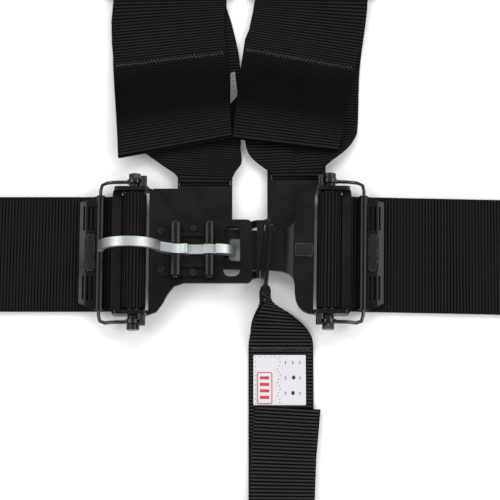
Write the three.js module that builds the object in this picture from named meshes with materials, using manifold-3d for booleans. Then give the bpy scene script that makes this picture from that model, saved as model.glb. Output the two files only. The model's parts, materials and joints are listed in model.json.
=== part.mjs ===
// Racing harness: five straps meeting in a latch-and-link buckle, laid flat and fastened.
// Millimetres. +X runs to the wearer's right lap strap, +Y towards the shoulder straps and
// +Z up from the surface the harness lies on, with the buckle over the origin.
import * as THREE from 'three';
import { mergeVertices } from 'three/addons/utils/BufferGeometryUtils.js';
import Module from 'manifold-3d';

const wasm = await Module();
wasm.setup();

// ---- driving dimensions -------------------------------------------------------------------

const lapWidth = 76.2; // three-inch webbing, lap and shoulders
const crotchWidth = 42; // narrow webbing between the legs
const webThickness = 1.6;
const gap = 0.35; // kept between pieces that touch

const tabThickness = 2.5;
const linkThickness = 3.2;
const latchThickness = 3.2;
const plateSpace = 0.6; // between the stacked plates

const crossbarWidth = 6; // outer bar of each buckle plate's strap adjuster
const cheekThickness = 2.6;
const cheekClearance = 1.3; // webbing edge to cheek
const barRadius = 5.75; // grip bar that the lap webbing wraps
const rollToBody = 2; // from the rolled webbing to the plate's body edge
const rollToCrossbar = 0.6;
const boltRadius = 2.5;
const wireRadius = 1.2; // bail wire

const stemHalf = 21; // latch plate stem
const tongueHalf = 13; // link plate tongue
const tongueClearance = 1.5; // tongue edge to the slots it passes through
const knuckleRadius = 4.5;
const knuckleEnd = 17; // half the length of the knuckle rows
const pinEnd = knuckleEnd + 1.3;
const pinRadius = 2;
const leverHalf = 3; // half the thickness of the lever and the claw
const archRadius = 18.4; // finger arch of the lever, to the middle of its strip
const archThickness = 3;

const storedEndX = 280; // outer ends of the stored lap straps
const storedEndY = 292; // outer ends of the stored shoulder and crotch straps
const bundleLength = 70;
const bundleTop = 18.5;
const keeperThickness = 1;
const bracketThickness = 3;
const bundleBottom = keeperThickness + gap;
const bracketHoleRadius = 5.75; // for a 7/16 inch bolt

// ---- heights that follow from them --------------------------------------------------------

const layer = webThickness + gap; // one webbing layer on the next
const lowStrap = gap / 2 + webThickness / 2; // middle of the layer on the floor
const topStrap = lowStrap + layer;
const tabBottom = lowStrap + webThickness / 2 + 2 * gap;
const tabTop = tabBottom + tabThickness;
const linkBottom = tabTop + plateSpace;
const linkTop = linkBottom + linkThickness;
const latchBottom = linkTop + plateSpace;
const latchTop = latchBottom + latchThickness;
const barHeight = latchBottom + latchThickness / 2;
const baseBottom = latchTop + gap;
const baseThickness = 1.6;
const pinHeight = baseBottom + knuckleRadius;
const wrapRadius = barRadius + gap + webThickness / 2;
const rollRadius = wrapRadius + webThickness / 2;
const barFromEdge = rollToBody + rollRadius; // grip bar axis, outwards from the body edge
const windowEnd = barFromEdge + rollRadius + rollToCrossbar;
const wingLength = windowEnd + crossbarWidth; // of each plate's strap adjuster, from the body edge
const lapHalf = lapWidth / 2;
const wingHalf = lapHalf + cheekClearance + cheekThickness;

// ---- places in plan -----------------------------------------------------------------------

const degree = Math.PI / 180;
const latchSeat = { x: -65.7, y: 0, turn: Math.PI }; // body edge of the latch plate
const linkSeat = { x: 41.6, y: 0.6, turn: -1.2 * degree }; // body edge of the link plate
const leverPinX = -48.1;
const clawPinX = -26.2;
const clawRadius = 4.05;
const tongueShift = 1.7; // the tongue lies this far off the middle of the latch
const stackX = 12.4; // crotch tab's middle plane where it crosses the tongue
const stackLean = 0.1; // the tab stack leans this much in X for each step in Y

// ---- materials ----------------------------------------------------------------------------

function finish(color, roughness, metalness) {
  return new THREE.MeshStandardMaterial({ color, roughness, metalness });
}

const webbing = () => finish(0x1d1d20, 0.85, 0);
const blackSteel = () => finish(0x24231f, 0.45, 0.6);
const zinc = () => finish(0xc9ccd0, 0.35, 1);
const woven = () => finish(0xe4e4e2, 0.8, 0);

// ---- helpers ------------------------------------------------------------------------------

// A closed geometry as a solid that can be joined and cut.
function solid(geometry) {
  const bare = geometry.clone();
  bare.deleteAttribute('normal');
  bare.deleteAttribute('uv');
  const merged = mergeVertices(bare, 1e-4);
  const vertProperties = new Float32Array(merged.attributes.position.array);
  const triVerts = new Uint32Array(merged.index.array);
  return new wasm.Manifold(new wasm.Mesh({ numProp: 3, vertProperties, triVerts }));
}

function geometryOf(manifold) {
  const mesh = manifold.getMesh();
  const geometry = new THREE.BufferGeometry();
  geometry.setAttribute('position', new THREE.BufferAttribute(new Float32Array(mesh.vertProperties), 3));
  geometry.setIndex(new THREE.BufferAttribute(new Uint32Array(mesh.triVerts), 1));
  geometry.computeVertexNormals();
  return geometry;
}

function union(...geometries) {
  const [first, ...rest] = geometries.map(solid);
  return geometryOf(rest.reduce((sum, next) => sum.add(next), first));
}

function common(first, second) {
  return geometryOf(solid(first).intersect(solid(second)));
}

function cut(geometry, ...tools) {
  return geometryOf(tools.reduce((left, tool) => left.subtract(solid(tool)), solid(geometry)));
}

// A flat plate: its outline in X and Y, from height bottom upwards.
function plate(shape, bottom, thickness, curveSegments = 3) {
  const options = { depth: thickness, bevelEnabled: false, curveSegments };
  return new THREE.ExtrudeGeometry(shape, options).translate(0, 0, bottom);
}

// A side profile in X and Z, carried across from y0 to y1.
function across(shape, y0, y1, curveSegments = 6) {
  const geometry = new THREE.ExtrudeGeometry(shape, { depth: y1 - y0, bevelEnabled: false, curveSegments });
  return geometry.rotateX(Math.PI / 2).translate(0, y1, 0);
}

// A front profile in Y and Z, carried along X from x0 to x1.
function along(shape, x0, x1, curveSegments = 6) {
  const geometry = new THREE.ExtrudeGeometry(shape, { depth: x1 - x0, bevelEnabled: false, curveSegments });
  return geometry.rotateX(Math.PI / 2).rotateZ(Math.PI / 2).translate(x0, 0, 0);
}

function block(x0, x1, y0, y1, z0, z1) {
  const geometry = new THREE.BoxGeometry(x1 - x0, y1 - y0, z1 - z0);
  return geometry.translate((x0 + x1) / 2, (y0 + y1) / 2, (z0 + z1) / 2);
}

function rodY(x, z, radius, y0, y1, sides = 16) {
  return new THREE.CylinderGeometry(radius, radius, y1 - y0, sides).translate(x, (y0 + y1) / 2, z);
}

function rodZ(x, y, radius, z0, z1, sides = 16) {
  const rod = new THREE.CylinderGeometry(radius, radius, z1 - z0, sides);
  return rod.rotateX(Math.PI / 2).translate(x, y, (z0 + z1) / 2);
}

const points2 = (list) => list.map(([x, y]) => new THREE.Vector2(x, y));
const polygon = (list) => new THREE.Shape(points2(list));

function rectangle(x0, x1, y0, y1, radius = 0) {
  const shape = new THREE.Shape();
  shape.moveTo(x0 + radius, y0);
  shape.lineTo(x1 - radius, y0);
  if (radius) shape.absarc(x1 - radius, y0 + radius, radius, -Math.PI / 2, 0);
  shape.lineTo(x1, y1 - radius);
  if (radius) shape.absarc(x1 - radius, y1 - radius, radius, 0, Math.PI / 2);
  shape.lineTo(x0 + radius, y1);
  if (radius) shape.absarc(x0 + radius, y1 - radius, radius, Math.PI / 2, Math.PI);
  shape.lineTo(x0, y0 + radius);
  if (radius) shape.absarc(x0 + radius, y0 + radius, radius, Math.PI, 1.5 * Math.PI);
  return shape;
}

// Mirrors the upper half of an outline about the X axis and closes it.
function symmetric(upperPath, divisions = 5) {
  const upper = upperPath.getPoints(divisions);
  const lower = upper.slice().reverse().map((point) => new THREE.Vector2(point.x, -point.y));
  const ring = [...upper, ...lower];
  return new THREE.Shape(ring.filter((point, i) => i === 0 || point.distanceTo(ring[i - 1]) > 1e-4));
}

// Points on an arc in a side profile; angles in degrees, anticlockwise from +X.
function arc(cx, cz, radius, from, to, steps) {
  return Array.from({ length: steps + 1 }, (_, i) => {
    const angle = (from + ((to - from) * i) / steps) * degree;
    return [cx + radius * Math.cos(angle), cz + radius * Math.sin(angle)];
  });
}

// The outline of a band of even thickness about a line of points.
function band(line, thickness) {
  const middle = points2(line);
  const sides = middle.map((point, i) => {
    const before = middle[Math.max(i - 1, 0)];
    const after = middle[Math.min(i + 1, middle.length - 1)];
    const inward = point.clone().sub(before).normalize();
    const outward = after.clone().sub(point).normalize();
    const atEnd = i === 0 || i === middle.length - 1;
    const end = i === 0 ? outward : inward;
    const heading = atEnd ? end : inward.clone().add(outward).normalize();
    const stretch = atEnd ? 1 : 1 / Math.max(heading.dot(inward), 0.5); // keeps a bend's full thickness
    const normal = new THREE.Vector2(-heading.y, heading.x).multiplyScalar((thickness / 2) * stretch);
    return [point.clone().add(normal), point.clone().sub(normal)];
  });
  return new THREE.Shape([...sides.map((side) => side[0]), ...sides.map((side) => side[1]).reverse()]);
}

// A strap lofted through rows of [x, y, z, width, thickness, turn]: turn is the angle in degrees
// by which the strap's width is turned from the X axis, seen from above.
function strap(rows) {
  const centre = rows.map(([x, y, z]) => new THREE.Vector3(x, y, z));
  const corners = rows.flatMap(([, , , width, thickness, turn], i) => {
    const before = centre[Math.max(i - 1, 0)];
    const after = centre[Math.min(i + 1, centre.length - 1)];
    const side = new THREE.Vector3(Math.cos(turn * degree), Math.sin(turn * degree), 0);
    const up = side.clone().cross(after.clone().sub(before)).normalize();
    side.multiplyScalar(width / 2);
    up.multiplyScalar(thickness / 2);
    return [
      centre[i].clone().sub(side).sub(up),
      centre[i].clone().add(side).sub(up),
      centre[i].clone().add(side).add(up),
      centre[i].clone().sub(side).add(up),
    ];
  });
  const index = [0, 1, 2, 0, 2, 3];
  for (let row = 0; row < rows.length - 1; row += 1) {
    for (let k = 0; k < 4; k += 1) {
      const a = row * 4 + k;
      const b = row * 4 + ((k + 1) % 4);
      index.push(a, b + 4, b, a, a + 4, b + 4);
    }
  }
  const last = (rows.length - 1) * 4;
  index.push(last, last + 2, last + 1, last, last + 3, last + 2);
  const geometry = new THREE.BufferGeometry();
  const positions = new Float32Array(corners.flatMap((corner) => corner.toArray()));
  geometry.setAttribute('position', new THREE.BufferAttribute(positions, 3));
  geometry.setIndex(index);
  geometry.computeVertexNormals();
  return geometry;
}

const harness = new THREE.Group();

function add(name, geometry, material, seat = { x: 0, y: 0, turn: 0 }) {
  const mesh = new THREE.Mesh(geometry, material);
  mesh.name = name;
  mesh.position.set(seat.x, seat.y, 0);
  mesh.rotation.z = seat.turn;
  harness.add(mesh);
}

// ---- strap adjuster at the outer end of each buckle plate ---------------------------------
// Drawn with its body edge at X = 0 and the strap leaving towards +X.

const plateCorner = 4;
const boltY = wingHalf + 9.5; // outer face of the bolt heads
const wireY = wingHalf + 4.3; // middle of the bail wire beside the cheeks
const handleWireX = wingLength + 8.3; // the bar of the bail that carries the release handle
const curlThickness = 1.5; // release handle sheet
const curlRadius = wireRadius + gap + curlThickness / 2; // its curl, to the middle of the sheet
const handleWireZ = topStrap + webThickness / 2 + 2 * gap + wireRadius + curlThickness;
const overshoot = 1; // how far a cutting tool reaches past what it cuts

const studX = 3.5;
const studZ = latchTop + 3.2;
const studRadius = 1.3;
const studHeadRadius = 2;
const studReach = 7.2; // head's end, outwards from the cheek

// The half outline of a plate's wing, which its stem's own curve then continues inwards.
function wingPath() {
  const path = new THREE.Path();
  path.moveTo(wingLength, 0);
  path.lineTo(wingLength, wingHalf - plateCorner);
  path.quadraticCurveTo(wingLength, wingHalf, wingLength - plateCorner, wingHalf);
  path.lineTo(0.4, wingHalf);
  return path;
}

function strapWindow() {
  const half = wingHalf - cheekThickness;
  return rectangle(0, windowEnd, -half, half, 1);
}

function cheek(side) {
  const profile = rectangle(0.4, wingLength - 1.2, latchBottom - 3, latchTop + 6, 2.5);
  const inner = side * (wingHalf - cheekThickness);
  const outer = side * wingHalf;
  return across(profile, Math.min(inner, outer), Math.max(inner, outer), 3);
}

// Adds the cheeks to a plate and drills them for the grip bar's bolt and the studs.
function withCheeks(body) {
  return cut(union(body, cheek(1), cheek(-1)),
    rodY(barFromEdge, barHeight, boltRadius + gap, -wingHalf - overshoot, wingHalf + overshoot),
    rodY(studX, studZ, studRadius + gap, -wingHalf - overshoot, wingHalf + overshoot, 10));
}

function cheekStud(side) {
  const inner = side * (wingHalf - cheekThickness + gap);
  const face = side * (wingHalf + gap);
  const end = side * (wingHalf + studReach);
  const shank = rodY(studX, studZ, studRadius, Math.min(inner, end), Math.max(inner, end), 10);
  return union(shank, rodY(studX, studZ, studHeadRadius, Math.min(face, end), Math.max(face, end), 12));
}

function gripBar() {
  const half = wingHalf - cheekThickness - gap;
  const bar = rodY(barFromEdge, barHeight, barRadius, -half, half, 20);
  return cut(bar, rodY(barFromEdge, barHeight, boltRadius + gap, -half - overshoot, half + overshoot));
}

const boltHeadRadius = 4.2;
const boltNutRadius = 4.4;
const collarRadius = 3.8;

function barBolt() {
  const shank = rodY(barFromEdge, barHeight, boltRadius, -boltY, boltY);
  const head = rodY(barFromEdge, barHeight, boltHeadRadius, wireY + wireRadius + gap, boltY, 12);
  const nut = rodY(barFromEdge, barHeight, boltNutRadius, -boltY, -wireY - wireRadius - gap, 6);
  const collars = [1, -1].map((side) => {
    const ends = [side * (wingHalf + gap), side * (wireY - wireRadius - gap)].sort((a, b) => a - b);
    return rodY(barFromEdge, barHeight, collarRadius, ends[0], ends[1], 12);
  });
  return union(shank, head, nut, ...collars);
}

// One wire: an eye round the bolt on each side, arms outwards and a bar across for the handle.
function bail() {
  const eyeRadius = boltRadius + gap + wireRadius;
  const half = [
    [barFromEdge + eyeRadius, wireY, barHeight],
    [barFromEdge + 14, wireY, barHeight - 0.6],
    [handleWireX - 3.4, wireY, handleWireZ + 0.3],
    [handleWireX - 1, wireY - 1, handleWireZ],
    [handleWireX, wireY - 3.4, handleWireZ],
    [handleWireX, wireY - 22.1, handleWireZ],
  ];
  const route = [...half, ...half.slice().reverse().map(([x, y, z]) => [x, -y, z])];
  const stops = route.map(([x, y, z]) => new THREE.Vector3(x, y, z));
  const section = new THREE.Shape();
  section.absarc(0, 0, wireRadius, 0, 2 * Math.PI);
  const curve = new THREE.CatmullRomCurve3(stops, false, 'centripetal');
  const wire = new THREE.ExtrudeGeometry(section, { steps: 34, curveSegments: 3, extrudePath: curve });
  const eyes = [1, -1].map((side) => {
    const y0 = side * wireY - wireRadius;
    const y1 = y0 + 2 * wireRadius;
    const ring = rodY(barFromEdge, barHeight, eyeRadius + wireRadius, y0, y1);
    return cut(ring, rodY(barFromEdge, barHeight, boltRadius + gap, y0 - overshoot, y1 + overshoot));
  });
  return union(wire, ...eyes);
}

const handleHalf = lapHalf - 0.4;
const handleEndX = handleWireX + 13.6;
const handleRise = 2.8; // free edge of the handle above its curl
const gripSlot = { width: 1.2, pitch: 2.9, from: 15, to: 31 };
const badgePlace = { x: handleWireX + 3.4, width: 5.8, half: 12.2, corner: 2.4, lift: 0.4, thickness: 0.7 };

// The release handle: a slotted plate whose inner edge curls round the bail wire.
function handle() {
  const low = handleWireZ - curlRadius;
  const curl = arc(handleWireX, handleWireZ, curlRadius, 20, 270, 9);
  const profile = [...curl, [handleWireX + 5, low], [handleWireX + 9.5, low + handleRise / 4],
    [handleEndX, low + handleRise]];
  const body = across(band(profile, curlThickness), -handleHalf, handleHalf);
  const taper = (side) => {
    const corner = [[handleWireX + 1.6, handleHalf + 1], [handleWireX + 5.6, handleHalf - 0.4],
      [handleEndX + 1, handleHalf - 5], [handleEndX + 2, handleHalf + 1]];
    return plate(polygon(corner.map(([x, y]) => [x, side * y])), 0, bundleTop);
  };
  const slots = [1, -1].flatMap((side) => [0, 1, 2].map((i) => {
    const x = handleWireX + 4.2 + gripSlot.pitch * i;
    const ends = [side * gripSlot.from, side * gripSlot.to].sort((a, b) => a - b);
    return block(x, x + gripSlot.width, ends[0], ends[1], 0, bundleTop);
  }));
  return cut(body, taper(1), taper(-1), ...slots);
}

function handleBadge() {
  const { x, width, half, corner, lift, thickness } = badgePlace;
  const bottom = handleWireZ - curlRadius + curlThickness / 2 + handleRise / 4 + lift;
  return plate(rectangle(x, x + width, -half, half, corner), bottom, thickness, 3);
}

// Lap webbing: in along the floor, up round the grip bar, back out on top, with a folded hem.
function lapStrap(length, hem) {
  const reach = length - 1.2;
  const turnX = barFromEdge + wrapRadius + 2.5;
  const under = [[length, lowStrap], [wingLength + 14, lowStrap], [wingLength, lowStrap + 0.4]];
  const wrap = arc(barFromEdge, barHeight, wrapRadius, -90, -360, 14);
  const back = arc(turnX, barHeight - 1, 2.5, 180, 270, 4);
  const top = [[turnX + 5, topStrap + 1.7], [turnX + 11, topStrap]];
  const fold = arc(reach - 2, topStrap + layer / 2, layer / 2, -90, 90, 4);
  const line = [...under, ...wrap, ...back, ...top, ...fold, [reach - hem, topStrap + layer]];
  return across(band(line, webThickness), -lapHalf, lapHalf);
}

function addAdjuster(side, seat) {
  add(`${side}_grip_bar`, gripBar(), blackSteel(), seat);
  add(`${side}_bar_bolt`, barBolt(), blackSteel(), seat);
  add(`${side}_cheek_stud_upper`, cheekStud(side === 'left' ? -1 : 1), blackSteel(), seat);
  add(`${side}_cheek_stud_lower`, cheekStud(side === 'left' ? 1 : -1), blackSteel(), seat);
  add(`${side}_bail`, bail(), blackSteel(), seat);
  add(`${side}_release_handle`, handle(), blackSteel(), seat);
  add(`${side}_handle_badge`, handleBadge(), blackSteel(), seat);
}

// ---- buckle plates ------------------------------------------------------------------------

const rivetPlaces = [[-57.6, 12.5], [-57.6, -12.5], [-36.8, 14.5], [-36.8, -14.5]];
const rivetRadius = 1.4;
const through = 30; // a cutting tool this tall passes through every plate
const stemLength = 67; // latch plate, inwards from its body edge
const clawWindow = { near: -6.5, far: -17.2, corner: 4, rim: 4.4 };
const heelSlot = { near: -26.9, far: -46, clear: 0.8 };

function latchPlate() {
  const path = wingPath();
  path.bezierCurveTo(-11.7, wingHalf, -9.7, stemHalf, -22.8, stemHalf);
  path.lineTo(plateCorner - stemLength, stemHalf);
  path.quadraticCurveTo(-stemLength, stemHalf, -stemLength, stemHalf - plateCorner);
  path.lineTo(-stemLength, 0);
  const shape = symmetric(path);
  const toLocal = (x) => latchSeat.x - x;
  const half = stemHalf - clawWindow.rim;
  const [near, far] = [clawWindow.near, clawWindow.far].map(toLocal);
  const opening = rectangle(near, far, -half, half, clawWindow.corner);
  shape.holes.push(strapWindow(), opening);
  const slotHalf = leverHalf + heelSlot.clear;
  const slot = rectangle(toLocal(heelSlot.near), toLocal(heelSlot.far), -slotHalf, slotHalf, 1);
  const rivetHoles = rivetPlaces.map(([x, y]) => rodZ(toLocal(x), y, rivetRadius + gap, 0, through, 10));
  const body = plate(shape, latchBottom, latchThickness);
  return withCheeks(cut(body, plate(slot, 0, through), ...rivetHoles));
}

const tongueHole = { near: -46.1, far: -55.1, half: 7.5, corner: 2 };
const tongueLength = 62.4; // link plate, inwards from its body edge

function linkPlate() {
  const path = wingPath();
  path.bezierCurveTo(-6, wingHalf, -12.1, 38, -12.1, 28);
  path.bezierCurveTo(-12.1, 17, -13.6, tongueHalf, -27.6, tongueHalf);
  path.lineTo(plateCorner - tongueLength, tongueHalf);
  path.quadraticCurveTo(-tongueLength, tongueHalf, -tongueLength, tongueHalf - plateCorner);
  path.lineTo(-tongueLength, 0);
  const shape = symmetric(path);
  const { near, far, half, corner } = tongueHole;
  shape.holes.push(strapWindow(), rectangle(far, near, -half, half, corner));
  const low = linkBottom + linkThickness / 2;
  const ends = [-tongueLength - overshoot, wingLength + overshoot];
  const line = [[ends[0], low], [-19, low], [-13, barHeight], [ends[1], barHeight]];
  const step = across(band(line, linkThickness), -wingHalf - overshoot, wingHalf + overshoot);
  return withCheeks(common(plate(shape, 0, through), step));
}

function linkBadge() {
  return plate(rectangle(-12.2, -0.8, -4.2, 4.2, 0.9), latchTop + gap, 0.6, 3);
}

// ---- latch mechanism ----------------------------------------------------------------------

const leverClearance = 0.6; // each side of the lever and the claw, between the knuckles
const railY = 10.2;
const pinBore = pinRadius + gap;

function leverBase() {
  const far = leverPinX - knuckleRadius - 7.4;
  const near = clawPinX + clawRadius + 0.6;
  const sheet = plate(rectangle(far, near, -knuckleEnd, knuckleEnd, 2), baseBottom, baseThickness, 3);
  const channelHalf = leverHalf + leverClearance;
  const low = baseBottom - overshoot;
  const channel = block(leverPinX - 7, near + overshoot, -channelHalf, channelHalf, low, pinHeight);
  const knuckles = [1, -1].flatMap((side) => {
    const ends = [side * channelHalf, side * knuckleEnd].sort((a, b) => a - b);
    return [
      rodY(leverPinX, pinHeight, knuckleRadius, ends[0], ends[1], 20),
      rodY(clawPinX, pinHeight, clawRadius, ends[0], ends[1], 18),
      block(clawPinX - 3, clawPinX + 3, ends[0], ends[1], baseBottom, pinHeight - 2),
    ];
  });
  const rails = [1, -1].map((side) => block(leverPinX, clawPinX, side * railY - 1, side * railY + 1,
    baseBottom + 0.5, baseBottom + baseThickness + 2));
  const reach = pinEnd + overshoot;
  const bores = [leverPinX, clawPinX].map((x) => rodY(x, pinHeight, pinBore, -reach, reach));
  const rivetHoles = rivetPlaces.map(([x, y]) => rodZ(x, y, rivetRadius + gap, 0, through, 10));
  return cut(union(cut(sheet, channel), ...knuckles, ...rails), ...bores, ...rivetHoles);
}

const rivetHead = { radius: 2.2, height: 1.1 };

function baseRivet([x, y]) {
  const top = baseBottom + baseThickness + gap;
  const shank = rodZ(x, y, rivetRadius, latchBottom + gap, top + rivetHead.height / 2, 10);
  return union(shank, rodZ(x, y, rivetHead.radius, top, top + rivetHead.height, 12));
}

function crossPin(x) {
  const shank = rodY(x, pinHeight, pinRadius, -pinEnd, pinEnd);
  const head = rodY(x, pinHeight, pinRadius + 1, knuckleEnd + gap, pinEnd, 12);
  return union(shank, head);
}

const toeReach = 7.5; // lever toe from its pin
const toeRadius = 1.6;
const toeAngle = 30 * degree;
const archX = leverPinX - 10.4 - archRadius; // middle of the finger arch
const archZ = pinHeight + 10;

function latchLever() {
  const side = (shape) => across(shape, -leverHalf, leverHalf);
  const hub = rodY(leverPinX, pinHeight, knuckleRadius, -leverHalf, leverHalf, 20);
  const toeX = leverPinX + toeReach * Math.cos(toeAngle);
  const toeZ = pinHeight + toeReach * Math.sin(toeAngle);
  const toe = side(band([[leverPinX, pinHeight + 1.5], [toeX, toeZ]], 2 * toeRadius));
  const tip = rodY(toeX, toeZ, toeRadius, -leverHalf, leverHalf, 12);
  const foot = archX + archRadius; // where the arch meets the lever's arm
  const rise = [[leverPinX - 3, pinHeight - 2], [foot - 1.4, archZ - 2], [foot - 1.4, archZ + 1],
    [foot + 1, archZ + 2.5], [leverPinX, pinHeight + 4.4]];
  const line = [...arc(archX, archZ, archRadius, -3, 180, 20), [archX - archRadius, archZ - 1]];
  const body = union(hub, toe, tip, side(polygon(rise)), side(band(line, archThickness)));
  return cut(body, rodY(leverPinX, pinHeight, pinBore, -leverHalf - overshoot, leverHalf + overshoot));
}

const heelTop = pinHeight + 1.65;
const heelX = leverPinX + knuckleRadius + 1.1; // end of the claw's heel, under the lever's toe

function latchClaw() {
  const profile = new THREE.Shape();
  profile.moveTo(heelX, heelTop - 3.7);
  profile.lineTo(-34, heelTop - 4.35);
  profile.lineTo(clawPinX, pinHeight - clawRadius);
  profile.lineTo(-22.5, pinHeight - 3.8);
  profile.quadraticCurveTo(-15.5, pinHeight - 4.4, -13.4, linkTop + 2.6);
  profile.lineTo(-12.9, linkBottom - 0.2);
  profile.lineTo(-10.5, linkBottom - 0.2);
  profile.lineTo(-9.2, linkTop + 0.4);
  profile.quadraticCurveTo(-10, pinHeight + 4.6, -22, pinHeight + 5.2);
  profile.lineTo(-22, pinHeight + 2.4);
  profile.lineTo(-23.4, pinHeight + 2.4);
  profile.lineTo(-23.4, pinHeight + clawRadius);
  profile.lineTo(-29.6, pinHeight + clawRadius - 0.2);
  profile.lineTo(-29.9, heelTop + 0.3);
  profile.lineTo(heelX, heelTop);
  const arm = across(profile, -leverHalf, leverHalf, 5);
  const hub = rodY(clawPinX, pinHeight, clawRadius, -leverHalf, leverHalf, 18);
  const reach = leverHalf + overshoot;
  return cut(union(arm, hub), rodY(clawPinX, pinHeight, pinBore, -reach, reach));
}

const springX = -35.4;
const seatTop = latchBottom - 2.1;
const seatSheet = 1; // thickness of the pressed seat
const seatEnds = [springX - 3.6, springX + 4.4];
const seatHalf = 4.2; // half the room between its walls
const flangeEnd = 9;

function springSeat() {
  const [x0, x1] = seatEnds;
  const top = latchBottom - gap;
  const outer = seatHalf + seatSheet;
  const floor = block(x0, x1, -outer, outer, seatTop - seatSheet, seatTop);
  const walls = [1, -1].flatMap((side) => {
    const wall = [side * seatHalf, side * outer].sort((a, b) => a - b);
    const flange = [side * seatHalf, side * flangeEnd].sort((a, b) => a - b);
    return [
      block(x0, x1, wall[0], wall[1], seatTop - seatSheet, top),
      block(x0, x1, flange[0], flange[1], top - seatSheet, top),
    ];
  });
  return union(floor, ...walls);
}

function clawSpring() {
  const wire = 0.4;
  const coilRadius = 2.1;
  const bottom = seatTop + gap + wire;
  const top = heelTop - 4.25 - gap - wire;
  const turns = 4;
  const steps = turns * 10;
  const stops = Array.from({ length: steps + 1 }, (_, i) => {
    const angle = (i / 10) * 2 * Math.PI;
    const height = bottom + ((top - bottom) * i) / steps;
    return new THREE.Vector3(springX + coilRadius * Math.cos(angle), coilRadius * Math.sin(angle), height);
  });
  const section = new THREE.Shape();
  section.absarc(0, 0, wire, 0, 2 * Math.PI);
  const curve = new THREE.CatmullRomCurve3(stops);
  return new THREE.ExtrudeGeometry(section, { steps, curveSegments: 3, extrudePath: curve });
}

// ---- tabs threaded on the tongue ----------------------------------------------------------

const slotLow = tongueShift - tongueHalf - tongueClearance;
const slotHigh = tongueShift + tongueHalf + tongueClearance;
const rimBottom = linkTop + plateSpace + gap;
const leanX = (y) => stackX + stackLean * y; // middle plane of the crotch tab
const tabPitch = tabThickness + gap;
const rimLow = slotLow - 4.7; // ends of the left tab's stepped-up rim
const rimHigh = 20.7;

// Left shoulder tab: flat under the latch plate, with its end stepped up over the tongue.
function leftShoulderTab() {
  const flat = polygon([[-63.7, 17.2], [-5.4, 17.2], [-5.4, rimLow], [-0.4, rimLow],
    [-0.4, slotLow], [-0.6, slotLow], [-0.6, slotHigh], [-0.4, slotHigh], [-0.4, rimHigh], [-11.7, rimHigh],
    [-11.7, lapHalf + 16.3], [-47.6, lapHalf + 16.3], [-47.6, lapHalf + 5.3], [-63.7, lapHalf + 5.3]]);
  flat.holes.push(rectangle(-46.7, -12.9, lapHalf + 7.1, lapHalf + 11.9, 1));
  const ramp = polygon([[-0.8, tabBottom], [-0.4, tabBottom], [4.9, rimBottom], [5.4, rimBottom],
    [5.4, rimBottom + tabThickness], [4.4, rimBottom + tabThickness], [-0.8, tabTop + 0.5]]);
  const rimEdge = (y) => leanX(y) - 1.5 * tabPitch - gap;
  const rim = polygon([[4.5, rimLow], [rimEdge(rimLow), rimLow], [rimEdge(rimHigh), rimHigh],
    [4.5, rimHigh]]);
  return union(
    plate(flat, tabBottom, tabThickness, 3),
    across(ramp, slotHigh, rimHigh),
    across(ramp, rimLow, slotLow),
    plate(rim, rimBottom, tabThickness),
  );
}

// A wall standing across the tongue, leaning with the stack: outline in Y and Z, given middle.
function standing(shape, middle, thickness) {
  const wall = along(shape, -thickness / 2, thickness / 2, 4);
  return wall.rotateZ(-Math.atan(stackLean)).translate(middle, 0, 0);
}

const tongueSlot = () => rectangle(slotLow, slotHigh, linkBottom - 0.45, linkTop + 0.45, 0.4);

// Right shoulder tab: flat beside the tongue, with its end turned up and slotted for the tongue.
function rightShoulderTab() {
  const end = lapHalf + 20.3;
  const flat = polygon([[9.4, 19.2], [17.2, 19.2], [17.2, 15], [41, 15], [41, lapHalf + 4.9],
    [50, lapHalf + 7.3], [50, end], [11.4, end], [11.4, 22.6], [9.4, 22.6]]);
  flat.holes.push(rectangle(14, 46, lapHalf + 11.1, lapHalf + 15.9, 1));
  const flange = rectangle(slotLow - 4.2, 21.8, tabBottom, linkTop + 3.6, 1.5);
  flange.holes.push(tongueSlot());
  return union(plate(flat, tabBottom, tabThickness, 3), standing(flange, stackX - tabPitch, tabThickness));
}

const crotchSlot = { low: -26.2, high: -20.2, bottom: 3, top: 14.6 };

// Crotch tab: stands on edge, slotted for the tongue and, past it, for the crotch webbing.
// Grown, it is the room that the gathered webbing leaves round it.
function crotchTab(grow = 0) {
  const wall = rectangle(-30.6 - grow, 17.9 + grow, 0.6 - grow, 17 + grow, 1.5);
  if (!grow) wall.holes.push(tongueSlot());
  const { low, high, bottom, top } = crotchSlot;
  wall.holes.push(rectangle(low + grow, high - grow, bottom + grow, top - grow, 1));
  return standing(wall, stackX, tabThickness + 2 * grow);
}

// ---- webbing ------------------------------------------------------------------------------

const tabHeight = (tabBottom + tabTop) / 2;
const loopRadius = tabThickness / 2 + gap + webThickness / 2;

// The strap's turn through a shoulder tab's slot, gathered to the slot's width.
function tabLoop(x0, x1, turnY) {
  const line = [[turnY + 15, tabHeight - loopRadius], ...arc(turnY, tabHeight, loopRadius, 270, 90, 8),
    [turnY + 15, tabHeight + loopRadius]];
  return along(band(line, webThickness), x0, x1);
}

const adjusterY = 178; // front edge of the shoulder adjusters
const slideRadius = tabThickness / 2 + gap + webThickness / 2; // webbing round an adjuster bar
const slideZ = lowStrap + slideRadius;

function shoulderStrap(loop, rows) {
  return union(tabLoop(...loop), strap(rows));
}

// The pull end of an adjustable strap: round the adjuster's middle bar, then back over the strap.
function tailRows(x, y, direction, width) {
  const turn = arc(20.6, slideZ, slideRadius, -90, 90, 6);
  return [[18.4, lowStrap], ...turn, [-3, slideZ + slideRadius]]
    .map(([out, z]) => [x, y + direction * out, z, width, webThickness, direction > 0 ? 0 : 180]);
}

// ---- adjusters, stored ends and anchor brackets -------------------------------------------
// Drawn with the strap leaving towards +X.

const adjusterLength = 38;
const rearBarX = 31; // inner edge of the bar that the stored webbing loops round
const adjusterGap = storedEndY - bundleLength - adjusterY; // adjuster's front edge to the stored webbing

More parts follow.
